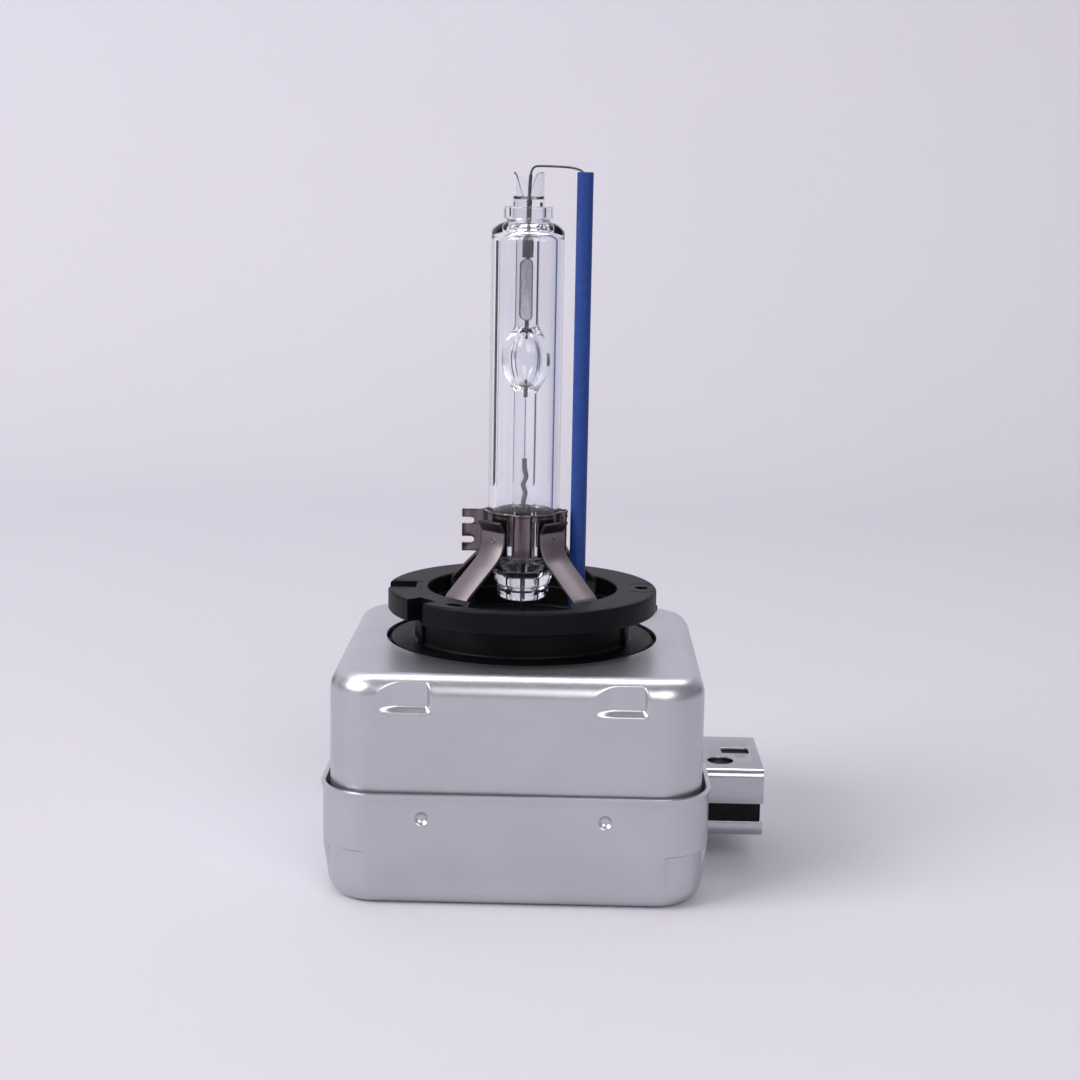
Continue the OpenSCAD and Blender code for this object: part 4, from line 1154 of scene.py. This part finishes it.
class LAMP_OT_legs(bpy.types.Operator):
    """Makes the four sprung legs that carry the clamp"""

    bl_idname = "lamp.legs"
    bl_label = "Legs"

    def execute(self, context):
        settings = context.scene.lamp_clamp
        ring_high = node_box("leg_ring")[1]
        glass = node_box("outer_bulb")[1].x
        half_t, half_w = 0.2, 1.85
        top_r = glass + STRIP + half_t
        foot_r = ring_high.x - LEG_INSET
        fold_z, fold_r = node_box("clamp_band")[1].z - 2.2, 0.35
        # leans from upright in degrees, and the bends at the knee and the ankle
        lean, lip_lean, knee_r, ankle_r = 50, 33, 4, 1
        slope = math.radians(lean)
        lip_line = arc(top_r + fold_r, fold_z, fold_r, 180 - lip_lean, 180, 6)
        tip = Vector(lip_line[0]) + settings.lip / MM * Vector((math.sin(math.radians(lip_lean)),
                                                                math.cos(math.radians(lip_lean))))
        knee = arc(top_r + knee_r, fold_z - 0.5, knee_r, 180, 180 + lean, 10)
        run = foot_r - ankle_r * (1 - math.cos(slope)) - knee[-1][0]
        foot_z = knee[-1][1] - run / math.tan(slope)
        ankle = arc(foot_r - ankle_r, foot_z - ankle_r * math.sin(slope), ankle_r, lean, 0, 6)
        line = [Vector(p) for p in [tip, *lip_line, *knee, *ankle, (foot_r, ring_high.z)]]
        sides = {-1: [], 1: []}
        for i, p in enumerate(line):
            way = (line[min(i + 1, len(line) - 1)] - line[max(i - 1, 0)]).normalized()
            for side in sides:
                sides[side].append(p + side * half_t * Vector((-way.y, way.x)))
        outline = [tuple(p) for p in sides[1] + sides[-1][::-1]]
        blade = cross_prism("blade", outline, half_w)
        bevelled(blade, 0.07, 60)
        # ring left by the spot weld, on the outer face
        ring = turned("weld", [arc(0.3, 0, 0.13, 0, 360, 8)[:-1]], segments=24)
        spot = Vector((top_r + half_t, 0.1, fold_z - 0.95)) * MM
        ring.data.transform(Matrix.Translation(spot) @ Matrix.Rotation(math.pi / 2, 4, "Y"))
        legs = spun(join("sprung_legs", [blade, ring]), 45)
        grow(legs, ring_tree(), {"Count": 4, "Material": leg_steel(list(settings.leg_steel), fold_z)})
        finish_piece(legs, None, "leg_steel", "leg_front_left", "leg_front_right",
                     "leg_rear_left", "leg_rear_right", sharp=40)
        return {"FINISHED"}


# ---------------------------------------------------------------- connector

def plug_ring(low, high, inset, corner, x):
    """A box's rounded outline across the connector, set in from its sides, anticlockwise from the mouth."""
    y0, y1, z0, z1 = low.y + inset, high.y - inset, low.z + inset, high.z - inset
    outline = rounded([(y0, z0, corner), (y1, z0, corner), (y1, z1, corner), (y0, z1, corner)], steps=6)
    return [(x, y, z) for y, z in outline]


def shield(name, foot, head, half, stations, holes=()):
    """A channel of bent sheet along the connector, open at its foot, from its foot and head heights."""
    sheet, corner = 0.4, 1.1
    way = 1 if head > foot else -1
    line = rounded([(way * half, foot, 0), (way * half, head, corner), (-way * half, head, corner),
                    (-way * half, foot, 0)], closed=False, steps=8)
    piece = skin(name, [[(x, y, z) for y, z in line] for x in stations], closed=False)
    add_modifier(piece, "SOLIDIFY", thickness=sheet * MM, offset=-1)
    settle(piece)
    cut(piece, holes)
    return bevelled(piece, 0.06, 50)


class LAMP_OT_connector(bpy.types.Operator):
    """Makes the plated shields and the black socket"""

    bl_idname = "lamp.connector"
    bl_label = "Connector"

    def execute(self, context):
        settings = context.scene.lamp_socket
        up_low, up_high = node_box("upper_shield")
        down_low, down_high = node_box("lower_shield")
        body_low, body_high = node_box("connector_body")
        plate = nickel_plate(list(settings.plate))
        top, half = up_high.z, up_high.y
        stations = lines(up_low.x, up_high.x, 1.0)
        # the latch window and the eye in the upper shield
        holes = [slab((24.4, -0.6, top - 2), (27.7, 1.8, top + 1)),
                 disc(24.0, -3.75, 1.55, top - 2, top + 1)]
        cover = shield("shield_cover", up_low.z, top, half, stations, holes)
        finish_piece(cover, plate, "shield_steel", "upper_shield", sharp=40)
        tray = shield("shield_tray", down_high.z, down_low.z, half, stations)
        finish_piece(tray, plate, "shield_steel", "lower_shield", sharp=40)

        # socket: outside, mouth, inside, and the wall that holds the pins
        wall, mouth, seat, ease = 0.6, body_high.x, 22.4, 0.15
        rows = [plug_ring(body_low, body_high, inset, corner, x) for inset, corner, x in (
            (0, 0.7, up_low.x - 0.4), (0, 0.7, mouth - ease), (0.12, 0.6, mouth),
            (wall - 0.12, 0.35, mouth), (wall, 0.3, mouth - ease), (wall, 0.3, seat),
        )]
        housing = skin("connector_housing", rows, start_cap=True, end_cap=True)
        black = bpy.data.materials["Moulded Black PPS"]
        finish_piece(housing, black, "socket_plastic", "connector_body", sharp=40)

        # guide ribs inside the socket, from its ceiling and from its floor
        ceiling, floor = body_high.z - wall, body_low.z + wall
        guides = [slab((seat - 0.1, y - w / 2, ceiling - 0.8), (mouth - 0.8, y + w / 2, ceiling + 0.1))
                  for y, w in ((-5.2, 0.7), (-1.4, 0.6), (2.3, 0.6), (5.4, 0.9))]
        guides += [slab((seat - 0.1, y - 0.3, floor - 0.1), (mouth - 2.2, y + 0.3, floor + 2.0))
                   for y in (-2, 2)]
        ribs = join("socket_guides", guides)
        finish_piece(bevelled(ribs, 0.08), black, "socket_plastic")
        return {"FINISHED"}


class LAMP_OT_pins(bpy.types.Operator):
    """Makes the three contact pins in the socket"""

    bl_idname = "lamp.pins"
    bl_label = "Pins"

    def execute(self, context):
        low, high = node_box("supply_pin")
        half = high.y
        axis_z = high.z - half
        tip = 0.7
        rows = []
        for x, size in ((low.x, half), (high.x - tip, half), (high.x - 0.1, half * 0.45),
                        (high.x, half * 0.3)):
            rows.append([(x, y, axis_z + z) for y, z in
                         ((-size, -size), (size, -size), (size, size), (-size, size))])
        blade = skin("contact_pins", rows, start_cap=True, end_cap=True)
        foot = slab((low.x, -half, low.z), (low.x + 2 * half, half, axis_z - half))
        pins = join("contact_pins", [blade, foot])
        # bronze strip, gold flashed
        gold = surfaced("Gold-Flashed Bronze", linear("b08d46"), linear("cfae68"), (0.15, 0.28), 0.1, 0.001,
                        stretch=(0.2, 1, 1), blotch=1.0, metallic=1.0)
        grow(pins, row_tree(), {"Count": 3, "Pitch": context.scene.lamp_socket.pitch, "Material": gold})
        finish_piece(pins, None, "pin_metal", "supply_pin", "return_pin", "trigger_pin", sharp=30)
        return {"FINISHED"}


class LAMP_OT_inner_parts(bpy.types.Operator):
    """Gives the parts that keep their frame shape their finishes"""

    bl_idname = "lamp.inner_parts"
    bl_label = "Inner parts"

    def execute(self, context):
        chosen = {"igniter_case": bpy.data.materials["Moulded Black PPS"]}
        for name, dark, light, roughness, size, depth, metallic, nodes in INNER_FINISHES:
            material = surfaced(name, linear(dark), linear(light), roughness, size, depth, blotch=3 * size,
                                metallic=metallic)
            chosen.update(dict.fromkeys(nodes, material))
        for node, material in chosen.items():
            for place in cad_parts[node].material_slots:
                place.material = material
        return {"FINISHED"}


# ---------------------------------------------------------------- stage

def aim(camera, settings):
    """Places the camera about the middle of the flange, with its pan, tilt and roll."""
    level = math.cos(settings.elevation)
    back = Vector((math.sin(settings.azimuth) * level, -math.cos(settings.azimuth) * level,
                   math.sin(settings.elevation)))
    ahead = -back
    right = ahead.cross(Vector((0, 0, 1))).normalized()
    up = right.cross(ahead)
    pan = Matrix.Rotation(settings.pan, 3, up)
    ahead, right = pan @ ahead, pan @ right
    tilt = Matrix.Rotation(settings.tilt, 3, right)
    ahead, up = tilt @ ahead, tilt @ up
    roll = Matrix.Rotation(-settings.roll, 3, ahead)
    right, up = roll @ right, roll @ up
    place = Matrix((right, up, -ahead)).transposed().to_4x4()
    place.translation = back * settings.distance
    camera.matrix_world = place


class LAMP_OT_stage(bpy.types.Operator):
    """Makes the pale floor and wall, the soft lights and the camera"""

    bl_idname = "lamp.stage"
    bl_label = "Stage"

    def execute(self, context):
        settings = context.scene.lamp_stage
        scene = context.scene
        floor_z, tip_z = node_box("lower_can")[0].z, node_box("outer_bulb")[1].z
        wall_y, bend, reach = 420, 160, 1600
        profile = [(-reach, floor_z)] + [(wall_y - bend + p[0], floor_z + bend + p[1])
                                         for p in arc(0, 0, bend, -90, 0, 16)] + [(wall_y, 1500)]
        rows = [[(x, y, z) for x in (-reach, reach)] for y, z in profile]
        backdrop = skin("backdrop", rows, closed=False)
        # matt painted board: even, with a faint roller texture
        paint = surfaced("Matt Pale Paint", shade(list(settings.backdrop), 0.99), list(settings.backdrop),
                         (0.85, 0.95), 3.0, 0.01, blotch=60)
        backdrop.data.materials.append(paint)
        backdrop.data.shade_smooth()

        lamps = [
            # name, place, width, height, power in watts, colour; all aim at the middle of the flange
            ("key", (-700, -400, 540), 560, 560, 6.9, "fffdff"),
            ("front", (250, -620, 380), 500, 400, 2.2, "fffcfd"),
            ("overhead", (0, 120, 560), 500, 300, 0.35, "fdfcff"),
            ("sheen", (-40, 140, 520), 1000, 150, 2.4, "fdfcff"),
        ]
        for name, place, width, height, power, colour in lamps:
            light = bpy.data.lights.new(name, "AREA")
            light.shape = "RECTANGLE"
            light.size, light.size_y = width * MM, height * MM
            light.energy = power
            light.color = linear(colour)[:3]
            lamp = bpy.data.objects.new(name, light)
            scene.collection.objects.link(lamp)
            lamp.location = Vector(place) * MM
            lamp.rotation_mode = "QUATERNION"
            lamp.rotation_quaternion = (-Vector(place)).to_track_quat("-Z", "Y")
            # the sheen panel only shows in the metal and the glass
            lamp.visible_diffuse = name != "sheen"

        # black cards at the sides draw the edges of the clear glass: only glass and shiny metal show them
        felt = surfaced("Black Felt", linear("050506"), linear("0a0a0c"), (0.9, 1.0), 2.0, 0.05, blotch=20)
        thick = 2
        for name, near, far in (
            ("left_card", (-175, 250), (-250, 190)),
            ("right_card", (235, 205), (270, 150)),
        ):
            outline = [near, far, (far[0], far[1] + thick), (near[0], near[1] + thick)]
            card = prism(name, outline, floor_z, tip_z)
            card.data.materials.append(felt)
            card.visible_camera = card.visible_diffuse = card.visible_shadow = False

        world = bpy.data.worlds.new("studio")
        world.use_nodes = True
        air = world.node_tree
        air.nodes.clear()
        # a dim room for the light, a pale one for the camera where the floor ends
        glow = add_node(air, "ShaderNodeBackground", {"Color": linear("e1dfe8"), "Strength": 0.4})
        pale = add_node(air, "ShaderNodeBackground", {"Color": linear("cfcbd9"), "Strength": 1.0})
        ray = add_node(air, "ShaderNodeLightPath")
        room = add_node(air, "ShaderNodeMixShader", {
            "Fac": ray.outputs["Is Camera Ray"], 1: glow.outputs["Background"],
            2: pale.outputs["Background"],
        })
        add_node(air, "ShaderNodeOutputWorld", {"Surface": room.outputs["Shader"]})
        scene.world = world

        camera = bpy.data.objects.new("camera", bpy.data.cameras.new("camera"))
        scene.collection.objects.link(camera)
        camera.data.lens = settings.lens
        camera.data.sensor_width = 36
        camera.data.clip_start = 0.01
        aim(camera, settings)
        scene.camera = camera
        scene.view_settings.view_transform = "Standard"
        return {"FINISHED"}


# ---------------------------------------------------------------- add-on

OPERATORS = (
    LAMP_OT_cans, LAMP_OT_base, LAMP_OT_glass, LAMP_OT_burner_metal, LAMP_OT_return_tube, LAMP_OT_clamp,
    LAMP_OT_legs, LAMP_OT_connector, LAMP_OT_pins, LAMP_OT_inner_parts, LAMP_OT_stage,
)
SETTINGS = {
    "lamp_cans": CanSettings, "lamp_base": BaseSettings, "lamp_burner": BurnerSettings,
    "lamp_clamp": ClampSettings, "lamp_socket": SocketSettings, "lamp_stage": StageSettings,
}


class LAMP_PT_panel(bpy.types.Panel):
    """Lists the lamp's pieces and their settings"""

    bl_idname = "LAMP_PT_panel"
    bl_label = "Discharge Lamp"
    bl_space_type = "VIEW_3D"
    bl_region_type = "UI"
    bl_category = "Lamp"

    def draw(self, context):
        for operator in OPERATORS:
            self.layout.operator(operator.bl_idname)
        for name, group in SETTINGS.items():
            column = self.layout.column(heading=group.__doc__)
            for setting in group.__annotations__:
                column.prop(getattr(context.scene, name), setting)


def register():
    for cls in (*SETTINGS.values(), *OPERATORS, LAMP_PT_panel):
        bpy.utils.register_class(cls)
    for name, group in SETTINGS.items():
        setattr(bpy.types.Scene, name, PointerProperty(type=group))


def unregister():
    for name in SETTINGS:
        delattr(bpy.types.Scene, name)
    for cls in (LAMP_PT_panel, *reversed(OPERATORS), *SETTINGS.values()):
        bpy.utils.unregister_class(cls)


def main():
    """Builds every piece and writes the size of the frame and of the finished model."""
    register()
    for operator in OPERATORS:
        group, name = operator.bl_idname.split(".")
        getattr(getattr(bpy.ops, group), name)()


if __name__ == "__main__":
    main()
